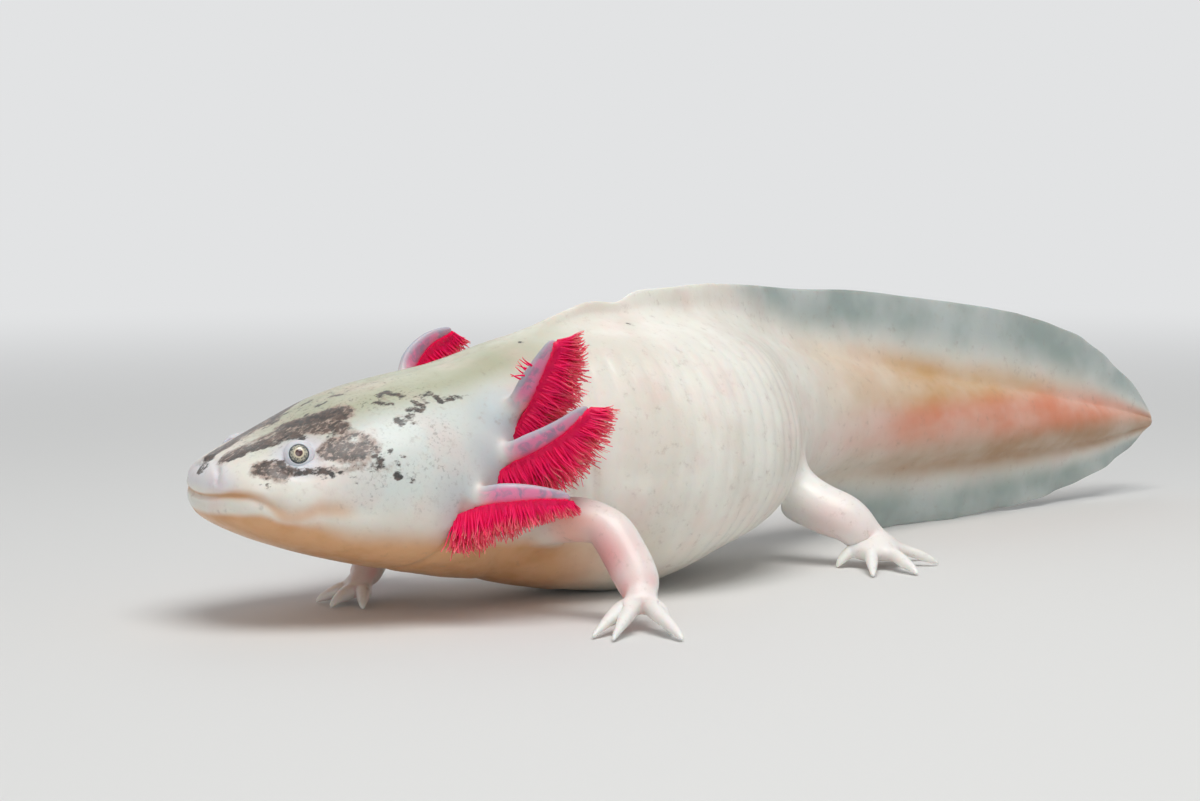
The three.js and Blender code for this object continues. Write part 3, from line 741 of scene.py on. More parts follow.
WASHES = (  # pale brown stains under and between the lines
    (1.3, 0.8, (3.2, 13), (5.6, 13), (8, 16), (10.5, 19)),
    (1.5, 1.0, (12, 11), (14, 16), (16, 20), (18.3, 24)),
    (1.4, 0.85, (11.8, 20), (12.9, 23), (14.2, 26), (15.5, 31), (17, 36)),
    (1.4, 0.8, (5.6, 52), (6.4, 56), (8, 61)), (1.6, 0.42, (4, 5), (7, 7), (10, 9), (12.5, 8)),
    (2.6, 0.6, (14.4, 52), (16.2, 56), (18.4, 58)), (1.8, 0.42, (17, 42), (19.5, 50), (20.5, 60)),
    (0.7, 0.45, (13.2, 66), (15.8, 69), (18.5, 68)), (1.1, 0.55, (15, 44), (17.5, 47)),
    (0.9, 0.45, (20.2, 70), (21.5, 71)), (0.9, 0.3, (24.6, 24), (25, 30)),
)
SPOTS = (  # single dots on the trunk
    (0.4, 0.8, (49, 13)), (0.4, 0.8, (69.8, 9)), (0.4, 0.7, (77, 38)), (0.35, 0.6, (61, 30)),
)
FOLDS = (  # strokes cut into the skin, with their depth as strength
    (0.8, 0.5, (32.6, 92), (32.0, 104), (31.0, 120), (29.0, 142), (27.6, 165), (27.2, 180)),
    (1.0, 0.2, (7.5, 97), (9, 98), (11, 94), (13, 91), (15.5, 92), (18, 93)),
    (0.6, 0.18, (7.6, 61), (9.4, 67), (11.4, 70), (13.4, 72)),
    (0.45, 0.26, (2.5, 3), (1.7, 18), (1.2, 36), (0.8, 56)),
    (0.6, -0.16, (3.1, 8), (2.4, 22), (1.9, 38), (1.5, 56)), (0.4, 0.4, (1.5, 25), (1.4, 31)),
    (0.9, 0.5, (43.5, 62), (45.0, 80), (45.2, 98)), (0.7, 0.5, (52.2, 78), (53.2, 96), (52.6, 118)),
    (0.6, 0.4, (49.2, 66), (50.2, 82), (49.6, 92)),
    (1.0, 0.35, (39.5, 120), (41.5, 140), (42.5, 160), (43.0, 180)),
)
NECK_FOLD = FOLDS[:1]
RIBS = {"from": 53.0, "to": 103.0, "spacing": 2.9, "depth": 0.3, "slant": 3.0}
TAIL_RIBS = {"from": 108.0, "to": 215.0, "spacing": 4.4, "depth": 0.13, "slant": 0.55}
RIB_SHARPNESS = 0.45
UNEVEN = ((9.0, 0.22), (3.5, 0.09))  # size and height of the skin's unevenness
GROOVE_DEPTH, GROOVE_HALF = 0.2, 0.9  # the groove along the middle of the crown
FIN_WAVES = (23.0, 9.1, 0.42)  # length of the long and of the short waves in the fins, and their height
FIN_WAVE_LEAN = 0.09  # how far a wave runs on with the height, in radians
FLOOR_GAP = 0.03
RIGHT_MOVED = (0.4, -2)  # how far the marks of the right side are moved
LINE_SOFT, WASH_SOFT, FOLD_SOFT = 0.75, 1.2, 2.6  # how far strokes fade out
EYE_LILAC, ROOT_GREY_REACH = 5.5, 7.5  # how far the colour round an eye, and the grey, partly painted shade, round a gill's root go

# how the roots of the gill stalks and the wrists are evened: reach, strength and how often
ROOT_REACH, ROOT_EASE, ROOT_FADES, EVEN_ROUNDS = 9.0, 0.5, (0.2, 0.52), 90
WRIST, WRIST_REACH, WRIST_EASE = 0.62, (0.045, 0.11), (0.2, 0.4)  # on an arm and on a leg
HIND = (60, 90)  # from the arms to the legs

# parts of the skin: where they start, are full, fade and end along the body, and in degrees from its
# top line; what starts at the top line or ends at the bottom line does so beyond it
UP_TO_TOP, DOWN_TO_BOTTOM, ALL_ROUND = (-2, -1), (181, 182), (-2, -1, 181, 182)
REGIONS = {
    "groove": ((16, 24, 40, 46), ALL_ROUND),
    "dust": ((3, 8, 24, 40), (*UP_TO_TOP, 24, 46)),
    "freckles": ((13, 19, 30, 38), (34, 52, 84, 100)),
    "crown": ((2, 14, 42, 66), (*UP_TO_TOP, 24, 60)),
    "cheek": ((10, 20, 40, 54), (26, 48, 78, 100)),
    "neck": ((28, 40, 50, 70), (100, 150, *DOWN_TO_BOTTOM)),
    "lips": ((0.8, 2.4, 6, 9), ALL_ROUND),
    "mouth corner": ((5.5, 8, 14.5, 18), ALL_ROUND),
    "flank": ((-2, -1, 300, 301), (18, 45, 125, 165)),
}


def within(x, start, full, fade, end):
    """0 outside start and end and 1 between full and fade."""
    return rise(x, start, full) * (1 - rise(x, fade, end))


def bell(x, centre, width):
    return np.exp(-((x - centre) / width) ** 2)


def on_skin(along, angle):
    """The point on the body at a distance along it and an angle in degrees from the top line."""
    out, up = on_body(along, angle)
    return place(along, out, up)


def distance_to(points, line):
    """The distance from each point to a line through the given points."""
    best = np.full(len(points), np.inf)
    if len(line) == 1:
        return np.linalg.norm(points - line[0], axis=1)
    for a, b in zip(line[:-1], line[1:]):
        share = np.clip(((points - a) @ (b - a)) / max((b - a) @ (b - a), 1e-9), 0, 1)
        best = np.minimum(best, np.linalg.norm(points - a - share[:, None] * (b - a), axis=1))
    return best


def stroke_line(stroke, side):
    along, angle = np.array(stroke, float).T
    fine = np.linspace(0, 1, 4 * len(along) - 3)
    steps = np.linspace(0, 1, len(along))
    along, angle = np.interp(fine, steps, along), np.interp(fine, steps, angle)
    return on_skin(along, side * angle)


def stroked(points, strokes, reach, sides=(1, -1)):
    """How far each point is inside strokes: 1 on a full line, 0 where it has faded out over the reach."""
    inside = np.zeros(len(points))
    for width, strength, *stroke in strokes:
        for side in sides:
            distance = distance_to(points, stroke_line(stroke, side))
            inside = np.maximum(inside, np.clip(strength * (1 + width / reach) - distance / reach, 0, 1))
    return inside


def around(points, centre, radius):
    """1 at a centre and 0 beyond a radius."""
    return 1 - rise(np.linalg.norm(points - centre, axis=1), 0.3 * radius, radius)


def sum_beside(ends, points):
    """For each corner, the sum of the corners at the other ends of its edges."""
    a, b = ends.reshape(-1, 2).T
    sums = [np.bincount(a, points[b, k], len(points)) + np.bincount(b, points[a, k], len(points))
            for k in range(3)]
    return np.stack(sums, 1)


def even_roots_and_wrists(mesh):
    """Evens the skin round the roots of the gill stalks and round the wrists and ankles."""
    points = corners(mesh)
    ends = read_field(mesh.edges, "vertices", 2, np.int32)
    beside = np.bincount(ends, minlength=len(points))[:, None]
    share = np.zeros(len(points))
    for gill in GILLS.values():
        share = np.maximum(share, around(points, spline(places(gill["stalk"]), 0.2), ROOT_REACH))
    share *= ROOT_EASE * (1 - rise(read_marks(mesh, "gill"), *ROOT_FADES))
    hind = rise(measure(points)[0], *HIND)
    wrist = bell(read_marks(mesh, "reach"), WRIST, mix(*WRIST_REACH, hind))
    share = np.maximum(share, mix(*WRIST_EASE, hind) * wrist)[:, None]
    for _ in range(EVEN_ROUNDS):
        points = mix(points, sum_beside(ends, points) / beside, share)
    set_corners(mesh, points)


class Skin:
    """The places and marks of the corners of the smoothed skin, in millimetres."""

    def __init__(self, mesh):
        self.mesh = mesh
        self.points = corners(mesh)
        self.normals = read_field(mesh.vertex_normals, "vector", 3).reshape(-1, 3).astype(float)
        self.along, self.out, self.up = measure(self.points)
        for name in MARKS:
            setattr(self, name, np.clip(read_marks(mesh, name), -1, 1))
        width, self.middle, top, bottom = body_sizes(np.clip(self.along, 0.2, LENGTH))
        height = np.where(self.up > self.middle, top - self.middle, self.middle - bottom)
        self.angle = np.degrees(np.arctan2(np.abs(self.out) / width, (self.up - self.middle) / height))
        self.body = (1 - rise(self.limb, 0, 0.5)) * (1 - rise(self.gill, 0.02, 0.15))

    def region(self, name):
        """1 in a region of the skin and 0 outside it, with a smooth edge."""
        lengthwise, crosswise = REGIONS[name]
        return within(self.along, *lengthwise) * within(self.angle, *crosswise)

    def noise(self, size, offset=0.0):
        """Smooth noise, from -1 to 1, with lumps of a size."""
        shift = Vector((offset, offset * 0.7, -offset))
        return np.array([noise.noise(Vector(p) / size + shift) for p in self.points])


def ribbed(skin, ribs, ahead):
    """Ridges across the flank: 0 on them and down to their depth in the grooves between them."""
    phase = (ahead - ribs["from"]) / ribs["spacing"]
    start, end = ribs["from"], ribs["to"]
    inside = within(skin.along, start - 2, start + 4, end - 5, end + 2)
    return ribs["depth"] * inside * (np.abs(np.sin(math.pi * phase)) ** RIB_SHARPNESS - 1)


def relief(skin):
    """How far each corner moves along its normal: folds, lips, ribs, crown groove and unevenness."""
    body = skin.body * (1 - skin.lid) * (1 - rise(skin.fin, 0.05, 0.3))
    depth = np.zeros(len(skin.points))
    for width, strength, *stroke in FOLDS:
        for side in (1, -1):
            depth -= strength * bell(distance_to(skin.points, stroke_line(stroke, side)), 0, width) * body
    ahead = skin.along - RIBS["slant"] * np.cos(np.radians(skin.angle))
    depth += ribbed(skin, RIBS, ahead) * skin.region("flank") * body
    ahead = skin.along + TAIL_RIBS["slant"] * np.abs(skin.up - skin.middle)
    depth += ribbed(skin, TAIL_RIBS, ahead) * body
    groove = bell(skin.out, 0, GROOVE_HALF) * skin.region("groove") * rise(skin.up, 26, 30)
    depth -= GROOVE_DEPTH * groove * body
    calm = 0.35 + 0.65 * rise(skin.along, 10, 45)
    plain = calm * (1 - skin.fin) * (1 - skin.lid) * (1 - skin.gill)
    for number, (size, height) in enumerate(UNEVEN):
        depth += height * skin.noise(size, 5.0 * number) * plain
    return depth


def fin_waves(skin):
    """How far each corner moves sideways in the waves of the fins."""
    long_wave, short_wave, height = FIN_WAVES
    wave = np.sin(2 * math.pi * skin.along / long_wave + FIN_WAVE_LEAN * skin.up)
    wave += 0.5 * np.sin(2 * math.pi * skin.along / short_wave)
    sideways = place(skin.along, 1, 0) - place(skin.along, 0, 0)
    return sideways * (height * wave * skin.fin ** 1.5 * rise(skin.along, 60, 110))[:, None]


def sculpt(skin):
    """Cuts the relief into the skin, waves the fins and keeps all of it over the floor."""
    points = skin.points + skin.normals * relief(skin)[:, None] + fin_waves(skin)
    points[:, 2] = np.maximum(points[:, 2], FLOOR_GAP)
    set_corners(skin.mesh, points)


def head_marks(skin):
    """The dark lines and dots, the brown stains and the dusting between them."""
    points = skin.points
    later, turned = RIGHT_MOVED
    moved = [(width, strength, *((a + later, d + turned) for a, d in stroke))
             for width, strength, *stroke in LINES]
    dark = np.zeros(len(points))
    for strokes, side in ((LINES + SPOTS, 1), (moved, -1), (RIGHT_LINES, 1)):
        dark = np.maximum(dark, stroked(points, strokes, LINE_SOFT, (side,)))
    head = skin.body * (1 - rise(skin.along, 80, 90))
    return {
        "dark": dark * head * (1 - skin.lid),
        "wash": stroked(points, WASHES, WASH_SOFT) * head * (1 - skin.lid),
        "freckled": np.maximum(0.5 * skin.region("freckles"), skin.region("dust")) * head,
    }


def throat_marks(skin):
    """Painted shade in peach, warmed by painted reflected light: under the throat, at the lips' edge, in the
    mouth's corner, under the neck and in the neck's fold; and the darker painted shade in the slit of the
    mouth.
    """
    along = skin.along
    over = skin.up - interpolate(MOUTH, 1, along)
    sinks = interpolate(THROAT_SINKS, 1, along)
    throat = rise(-over, sinks, sinks + mix(1.2, 4.4, rise(along, 7, 18))) * (1 - rise(along, 42, 64))
    # painted shade in the crease of the mouth, strongest at the front
    slit_shade = bell(over, -0.1, 0.4) * (1 - rise(along, 1.8, 6))
    lip = bell(over, 0.1, 0.7) * skin.region("lips")
    corner = bell(over, -0.35, 1.2) * skin.region("mouth corner")
    # painted shade under the throat, in the mouth's corner, under the neck, at the lips' edge and in the
    # neck's fold
    peach_shade = np.maximum(throat, 0.6 * corner) + 0.35 * skin.region("neck") + 0.35 * lip
    peach_shade += 0.4 * stroked(skin.points, NECK_FOLD, FOLD_SOFT)
    return {
        "peach_shade": np.clip(peach_shade, 0, 1) * skin.body,
        "slit_shade": np.clip(slit_shade + 0.3 * lip, 0, 1) * skin.body,
    }


def limb_marks(skin):
    """Pink shoulders, joints and wrists, paler where a limb faces backwards or up: the joints' pink is partly
    their own colour and partly painted shade, and the shoulders' pink is painted shade under the gills.
    """
    hind = rise(skin.along, *HIND)
    joints = bell(skin.reach, 0.38, 0.14) + 0.8 * bell(skin.reach, WRIST, 0.09)
    # painted shade: the shoulders turn pink where the gills shade them
    shoulder_shade = bell(skin.reach, 0.12, 0.14) * (1 - hind) * rise(skin.limb, 0.2, 0.8)
    backward = place(skin.along + 1, 0, 0) - place(skin.along, 0, 0)
    # painted shade in part: the pink fades where a limb faces backwards or up
    turned = 1 - 0.8 * rise(np.sum(skin.normals * backward, 1), 0.0, 0.65)
    turned *= 1 - 0.7 * rise(skin.normals[:, 2], 0.15, 0.75)
    return {
        "shoulder_shade": shoulder_shade * turned,
        # the joints' pink: partly their own colour, partly painted shade
        "pink_and_shade": mix(1.0, 0.35, hind) * np.clip(joints, 0, 1) * skin.limb * turned,
        "limb": skin.limb,
    }


def place_marks(skin):
    """Where the crown, cheeks, belly, tail, fins, gill stalks and the skin round the eyes are, including the
    painted shade of the belly and of the tail's underside, the grey with painted shade round the gill roots,
    and the painted light on the snout's front.
    """
    points, along = skin.points, skin.along
    eyes = np.maximum(*(around(points, eye_frame(side)[0], EYE_LILAC) for side in (1, -1)))
    roots = np.zeros(len(points))
    for gill in GILLS.values():
        roots = np.maximum(roots, around(points, places(gill["stalk"])[0], ROOT_GREY_REACH))
    # painted light: the snout's front takes a bluish cast where it faces forward
    snout = (1 - rise(along, 1.2, 3.5)) * rise(skin.up, 19, 20.5)
    behind_hips = rise(along, 100, 120)
    return {
        # grey round the gill roots: partly the stalks' own grey-blue, partly painted shade where they meet
        # the neck
        "root": roots * (1 - rise(along, 44, 50)),
        # the lilac round the eyes is their own colour; on the snout's front it is painted light
        "lilac_and_snout_light": np.maximum(eyes, 0.7 * snout),
        "crown": skin.region("crown") * skin.body,
        "cheek": skin.region("cheek") * skin.body,
        # painted shade: the body darker towards its underside
        "belly": rise(skin.angle, 95, 150) * skin.body,
        "tail": rise(along, 108, 160) * (1 - rise(skin.fin, 0.0, 0.45)) * skin.body,
        "tail_top": rise(skin.up, 19, 24) * behind_hips,
        # painted shade: the tail darker towards its underside
        "tail_low_shade": (1 - rise(skin.up, 12, 17)) * behind_hips,
        "fin": skin.fin * rise(along, 85, 135),
        "gill": rise(skin.gill, 0.16, 0.46),
        "gill_tip": rise(skin.gill, 0.72, 1.0),
        "edge": skin.edge,
    }


def paint(skin):
    """Soft masks of the colours, which the skin's material turns into sharp and broken marks."""
    masks = {**head_marks(skin), **throat_marks(skin), **limb_marks(skin), **place_marks(skin)}
    for name in ("reach", "lid"):
        skin.mesh.attributes.remove(skin.mesh.attributes[name])
    keep_marks(skin.mesh, masks)


def make_skin():
    """One skin over head, body, tail, fins, gill stalks and legs."""
    cage = make_cage()
    piece = make_object("skin", cage.points, cage.faces)
    keep_marks(piece.data, cage.marks)
    tidy_mesh(piece.data)
    smoother = piece.modifiers.new("smooth", "SUBSURF")
    smoother.levels = smoother.render_levels = SKIN_LEVELS
    mesh = evaluated(piece)
    even_roots_and_wrists(mesh)
    skin = Skin(mesh)
    paint(skin)
    sculpt(skin)
    finish_mesh(mesh, skin_material())
    return piece


# ---- material tools

def colour(red, green, blue):
    """A colour from 0-255 screen values, as the shaders read it."""
    values = [v / 255 for v in (red, green, blue)]
    return (*(v / 12.92 if v <= 0.04045 else ((v + 0.055) / 1.055) ** 2.4 for v in values), 1.0)


class Nodes:
    """Short calls for the nodes of one material or node group."""

    def __init__(self, tree):
        self.nodes, self.links = tree.nodes, tree.links

    def set(self, socket, value):
        if isinstance(value, bpy.types.NodeSocket):
            self.links.new(value, socket)
        elif value is not None:
            socket.default_value = value

    def add(self, kind, inputs=(), output=0, **settings):
        node = self.nodes.new(kind)
        for name, value in settings.items():
            setattr(node, name, value)
        for name, value in dict(inputs).items():
            self.set(node.inputs[name], value)
        return node.outputs[output]

    def attribute(self, name):
        return self.add("ShaderNodeAttribute", output="Fac", attribute_name=name)

    def place(self):
        return self.add("ShaderNodeTexCoord", output="Object")

    def stretched(self, scale, turn=0.0):
        """Object coordinates, turned on the floor plan and stretched."""
        inputs = {"Vector": self.place(), "Rotation": (0, 0, turn), "Scale": scale}
        return self.add("ShaderNodeMapping", inputs)

    def noise(self, size_mm, detail=3, vector=None, roughness=0.5, distortion=0.0):
        inputs = {"Vector": vector or self.place(), "Scale": 1 / (size_mm * MM), "Detail": detail,
                  "Roughness": roughness, "Distortion": distortion}
        return self.add("ShaderNodeTexNoise", inputs)

    def sum(self, a, b, how="ADD"):
        return self.add("ShaderNodeMath", {0: a, 1: b}, operation=how)

    def times(self, a, b):
        return self.sum(a, b, "MULTIPLY")

    def between(self, value, low, high, start=0.0, end=1.0, smooth=True):
        inputs = {"Value": value, "From Min": low, "From Max": high, "To Min": start, "To Max": end}
        return self.add("ShaderNodeMapRange", inputs, interpolation_type="SMOOTHSTEP" if smooth else "LINEAR")

    def patches(self, size_mm, low, high, detail=3, **looks):
        """Noise as patches: 0 below low and 1 above high."""
        return self.between(self.noise(size_mm, detail, **looks), low, high)

    def ragged(self, size_mm, spread, start, end, detail, roughness=0.7, vector=None):
        """Noise that breaks up the edges of the mask that it is added to."""
        noisy = self.noise(size_mm, detail, vector, roughness)
        return self.between(noisy, 0.5 - spread, 0.5 + spread, start, end, smooth=False)

    def blend(self, share, a, b):
        node = self.nodes.new("ShaderNodeMix")
        node.data_type = "RGBA"
        for socket, value in ((0, share), (6, a), (7, b)):
            self.set(node.inputs[socket], value)
        return node.outputs[2]

    def tinted(self, base, *tints):
        """The base under tints, each an attribute that says where, a strength and a colour."""
        for name, strength, tint in tints:
            base = self.blend(self.times(self.attribute(name), strength), base, tint)
        return base

    def bump(self, height, distance_mm, strength):
        inputs = {"Height": height, "Distance": distance_mm * MM, "Strength": strength}
        return self.add("ShaderNodeBump", inputs, output="Normal")


def new_material(name):
    """An empty material with its Principled shader: (material, nodes, shader)."""
    material = bpy.data.materials.new(name)
    material.use_nodes = True
    return material, Nodes(material.node_tree), material.node_tree.nodes["Principled BSDF"]


def finish_shader(nodes, shader, **inputs):
    for name, value in inputs.items():
        nodes.set(shader.inputs[name.replace("_", " ")], value)


# ---- materials

# the second cream is darker: it goes in random patches over the skin and is also the painted shade of the
# belly
CREAM, CREAM_TONE_AND_SHADE = colour(242, 239, 229), colour(230, 224, 212)
WHITE = colour(244, 244, 242)
CROWN = colour(170, 172, 142)
COOL = colour(208, 217, 214)
ROSY = colour(238, 190, 184)
# the joints' pink is partly their own colour and partly painted shade; the shoulders' pink is painted shade
# under the gills
JOINT_PINK, SHOULDER_SHADE_PINK = colour(230, 158, 156), colour(238, 172, 150)
# painted shade, warmed by painted reflected light, under the throat and round the mouth; the deeper one is
# also the painted shade in the mouth's slit
PEACH_SHADE, DEEP_PEACH_SHADE = colour(222, 168, 116), colour(208, 148, 88)
# round the eyes their own colour; on the snout's front, painted light
LILAC = colour(216, 214, 226)
# the low colour is painted shade on the tail's underside
TAIL_FLESH, TAIL_LOW_SHADE, TAIL_ORANGE = colour(222, 136, 100), colour(178, 140, 104), colour(202, 154, 94)
FIN_GREY, FIN_MILKY = colour(158, 174, 168), colour(198, 208, 204)
DARK, DARK_BROWN = colour(32, 27, 25), colour(80, 62, 54)
STAIN, ROSY_STAIN = colour(134, 112, 98), colour(182, 156, 144)
STALK_PINK, STALK_BLUE, STALK_GREY = colour(224, 128, 166), colour(158, 130, 156), colour(180, 186, 196)
# the root grey is partly the stalks' own grey-blue and partly painted shade where they meet the neck
ROOT_GREY_AND_SHADE = colour(174, 184, 192)
# the pale crimson is a painted highlight on the filament tips
CRIMSON, CRIMSON_DEEP, CRIMSON_TIP_HIGHLIGHT = colour(255, 12, 98), colour(252, 0, 82), colour(255, 158, 146)
PUPIL, BRIGHT_RING, EYE_RIM = colour(70, 26, 22), colour(226, 212, 182), colour(48, 62, 68)
IRIS, IRIS_FLECKS = colour(196, 190, 168), colour(74, 76, 72)
STREAK_TURN = math.radians(14)  # how the dark streaks of the head lie on the floor plan


def body_colour(n):
    """Cream skin with its green crown, cool cheeks, rosy blush and lilac rims; painted shade darkens the
    belly, adds to the grey at the gill roots and lies in peach under the throat and round the mouth, and
    painted light turns the snout's front lilac.
    """
    base = n.blend(n.patches(11, 0.35, 0.7), CREAM, CREAM_TONE_AND_SHADE)
    # the belly's tint is painted shade, darker towards the underside
    base = n.tinted(base, ("crown", 0.9, CROWN), ("cheek", 0.75, COOL), ("belly", 0.35, CREAM_TONE_AND_SHADE))
    base = n.blend(n.times(n.patches(7, 0.45, 0.7), 0.2), base, ROSY)
    # the lilac on the snout's front is painted light; the grey at the gill roots is partly painted shade
    base = n.tinted(base, ("lilac_and_snout_light", 0.75, LILAC), ("root", 0.7, ROOT_GREY_AND_SHADE))
    # the peach is painted shade, in random patches of two depths
    peach_shade = n.blend(n.patches(6, 0.4, 0.7), PEACH_SHADE, DEEP_PEACH_SHADE)
    # painted shade: peach under the throat and round the mouth, and deeper in the mouth's slit
    return n.tinted(base, ("peach_shade", 0.92, peach_shade), ("slit_shade", 0.8, DEEP_PEACH_SHADE))


def tail_and_limb_colour(n, base):
    """Orange flesh in the tail with painted shade on its underside, pink shoulders and joints on white limbs,
    the shoulders' pink painted shade and the joints' pink partly so, and milky grey fins.
    """
    flesh = n.blend(n.attribute("tail_top"), TAIL_FLESH, TAIL_ORANGE)
    # painted shade on the tail's underside
    flesh = n.blend(n.attribute("tail_low_shade"), flesh, TAIL_LOW_SHADE)
    share = n.between(n.noise(9, 3, n.stretched((0.5, 1, 1))), 0.3, 0.7, 0.6, 1.0)
    base = n.blend(n.times(n.attribute("tail"), share), base, flesh)
    # the shoulders' pink is painted shade, and the joints' pink is partly painted shade
    base = n.tinted(base, ("limb", 0.6, WHITE), ("shoulder_shade", 0.75, SHOULDER_SHADE_PINK), ("pink_and_shade", 0.85, JOINT_PINK))
    fin = n.blend(n.patches(14, 0.35, 0.65), FIN_GREY, FIN_MILKY)
    return n.blend(n.between(n.attribute("fin"), 0.05, 0.7), base, fin)


def stalk_colour(n):
    """Mottled pink and mauve, grey on the outer edge and tip, and crimson under the fringe."""
    mottle = n.patches(1.9, 0.44, 0.62, 4, roughness=0.6, distortion=0.8)
    stalk = n.blend(n.times(mottle, 0.9), STALK_PINK, STALK_BLUE)
    stalk = n.blend(n.times(n.between(n.attribute("edge"), -0.4, -0.95), 0.9), stalk, STALK_GREY)
    stalk = n.tinted(stalk, ("gill_tip", 0.6, STALK_GREY))
    return n.blend(n.times(n.between(n.attribute("edge"), 0.0, 0.8), 0.9), stalk, CRIMSON)


def stained(n, base):
    """Pale brown stains under the dark lines."""
    share = n.between(n.sum(n.attribute("wash"), n.ragged(1.6, 0.2, -0.5, 0.35, 5)), 0.0, 0.9)
    stain = n.blend(n.patches(0.9, 0.35, 0.65, 4), STAIN, ROSY_STAIN)
    return n.blend(n.times(share, 0.85), base, stain)


def darkened(n, base):
    """The dark lines with their broken edges, flecks in the stains and dust on the crown."""
    turned = n.stretched((0.35, 1, 1), STREAK_TURN)
    streaks = n.ragged(0.55, 0.18, -0.55, 0.5, 4, vector=turned)
    flecks = n.times(n.between(n.sum(n.attribute("wash"), streaks), 0.55, 1.0), 0.9)
    clouds = n.between(n.noise(3.5, 2), 0.4, 0.6, 0.25, 1.0)
    dust = n.times(n.patches(0.6, 0.52, 0.66, 4, roughness=0.7), clouds)
    dust = n.times(n.times(dust, n.attribute("freckled")), 0.72)
    brushed = n.ragged(0.5, 0.2, -0.42, 0.3, 5, vector=turned)
    broken = n.ragged(1.2, 0.16, -0.4, 0.18, 4, 0.65, turned)
    lines = n.between(n.sum(n.sum(n.attribute("dark"), brushed), broken), 0.34, 0.84)
    share = n.sum(n.sum(lines, flecks, "MAXIMUM"), dust, "MAXIMUM")
    return n.blend(n.times(share, 0.95), base, n.blend(n.patches(0.8, 0.4, 0.62), DARK, DARK_BROWN))


def skin_material():
    material, n, shader = new_material("moist pale skin")
    base = tail_and_limb_colour(n, body_colour(n))
    base = n.blend(n.attribute("gill"), base, stalk_colour(n))
    base = darkened(n, stained(n, base))
    root = n.attribute("root")
    roughness = n.between(n.noise(1.6, 4), 0.3, 0.7, 0.34, 0.5)
    grain = n.sum(n.times(n.noise(0.45, 4), 0.5), n.times(n.noise(1.4, 2), 0.6))
    finish_shader(
        n, shader, Base_Color=base, Roughness=n.sum(roughness, n.times(root, 0.22)),
        Alpha=n.between(n.attribute("fin"), 0.15, 0.9, 1.0, 0.72), Normal=n.bump(grain, 0.09, 0.6),
        Subsurface_Weight=0.35, Subsurface_Radius=(1.0, 0.42, 0.28), Subsurface_Scale=1.6 * MM,
        Coat_Weight=n.between(root, 0.0, 0.6, 0.28, 0.0), Coat_Roughness=0.18, Specular_IOR_Level=0.4,
    )
    return material


def gill_material():
    material, n, shader = new_material("crimson filaments")
    tip = n.attribute("tip")
    base = n.blend(n.between(tip, 0.0, 0.55), CRIMSON_DEEP, CRIMSON)
    # painted highlight: the tips turn pale, more on some filaments than on others
    pale = n.times(n.between(tip, 0.55, 1.1), n.between(n.attribute("tint"), 0.1, 1.0, 0.25, 0.95))
    finish_shader(
        n, shader, Base_Color=n.blend(pale, base, CRIMSON_TIP_HIGHLIGHT),
        Roughness=n.between(n.noise(0.8, 2), 0.3, 0.7, 0.4, 0.55),
        Subsurface_Weight=0.2, Subsurface_Radius=(1.0, 0.1, 0.25), Subsurface_Scale=0.6 * MM,
        Specular_IOR_Level=0.25, Coat_Weight=0.1, Coat_Roughness=0.2,
        Sheen_Weight=0.2, Sheen_Roughness=0.4, Sheen_Tint=CRIMSON,
    )
    return material


def eye_material():
    """Dark red pupil, bright ring, pale flecked iris and dark rim, by the distance from the gaze."""
    material, n, shader = new_material("glossy eye")
    rim = n.attribute("from_gaze")
    iris = n.blend(n.patches(0.3, 0.42, 0.6, 4, roughness=0.7), IRIS, IRIS_FLECKS)
    base = PUPIL
    for start, end, next_colour in ((0.34, 0.42, BRIGHT_RING), (0.46, 0.62, iris), (0.78, 0.94, EYE_RIM)):
        base = n.blend(n.between(rim, start, end), base, next_colour)
    finish_shader(
        n, shader, Base_Color=base, Roughness=n.between(rim, 0.0, 1.0, 0.12, 0.2),
        Coat_Weight=1.0, Coat_Roughness=0.03, Specular_IOR_Level=0.5,
    )
    return material


# ---- eyes

EYE_SHOWN = 1.38  # radius of the eye that shows between the lids
EYE_RINGS, EYE_SIDES = 24, 48
EYE_BACK = 1.2  # from_gaze at the back of the ball


def ball_faces(rings, sides):
    """Faces of a ball whose corners are a pole, rings of corners and the other pole."""
    faces, last = [], 1 + (rings - 1) * sides
    for k in range(sides):
        j = (k + 1) % sides
        faces.append((0, 1 + k, 1 + j))
        for ring in range(rings - 2):
            a, b = 1 + ring * sides, 1 + (ring + 1) * sides
            faces.append((a + k, b + k, b + j, a + j))
        low = last - sides
        faces.append((low + k, last, low + j))
    return faces


def make_eye(name, side, material):
    """A ball whose pole is the gaze."""
    centre, gaze, forward, upward = eye_frame(side)
    turn = 2 * math.pi * np.arange(EYE_SIDES) / EYE_SIDES
    wheel = np.outer(np.cos(turn), forward) + np.outer(np.sin(turn), upward)
    points, from_gaze = [centre + gaze * EYE_RADIUS], [0.0]
    for ring in range(1, EYE_RINGS):
        polar = math.pi * ring / EYE_RINGS
        points += list(centre + EYE_RADIUS * (math.cos(polar) * gaze + math.sin(polar) * wheel))
        from_gaze += [EYE_RADIUS * math.sin(min(polar, math.pi / 2)) / EYE_SHOWN] * EYE_SIDES
    points.append(centre - gaze * EYE_RADIUS)
    from_gaze.append(EYE_BACK)
    eye = make_object(name, points, ball_faces(EYE_RINGS, EYE_SIDES))
    keep_marks(eye.data, {"from_gaze": from_gaze})
    tidy_mesh(eye.data)
    finish_mesh(eye.data, material)
    return eye


# ---- gill filaments

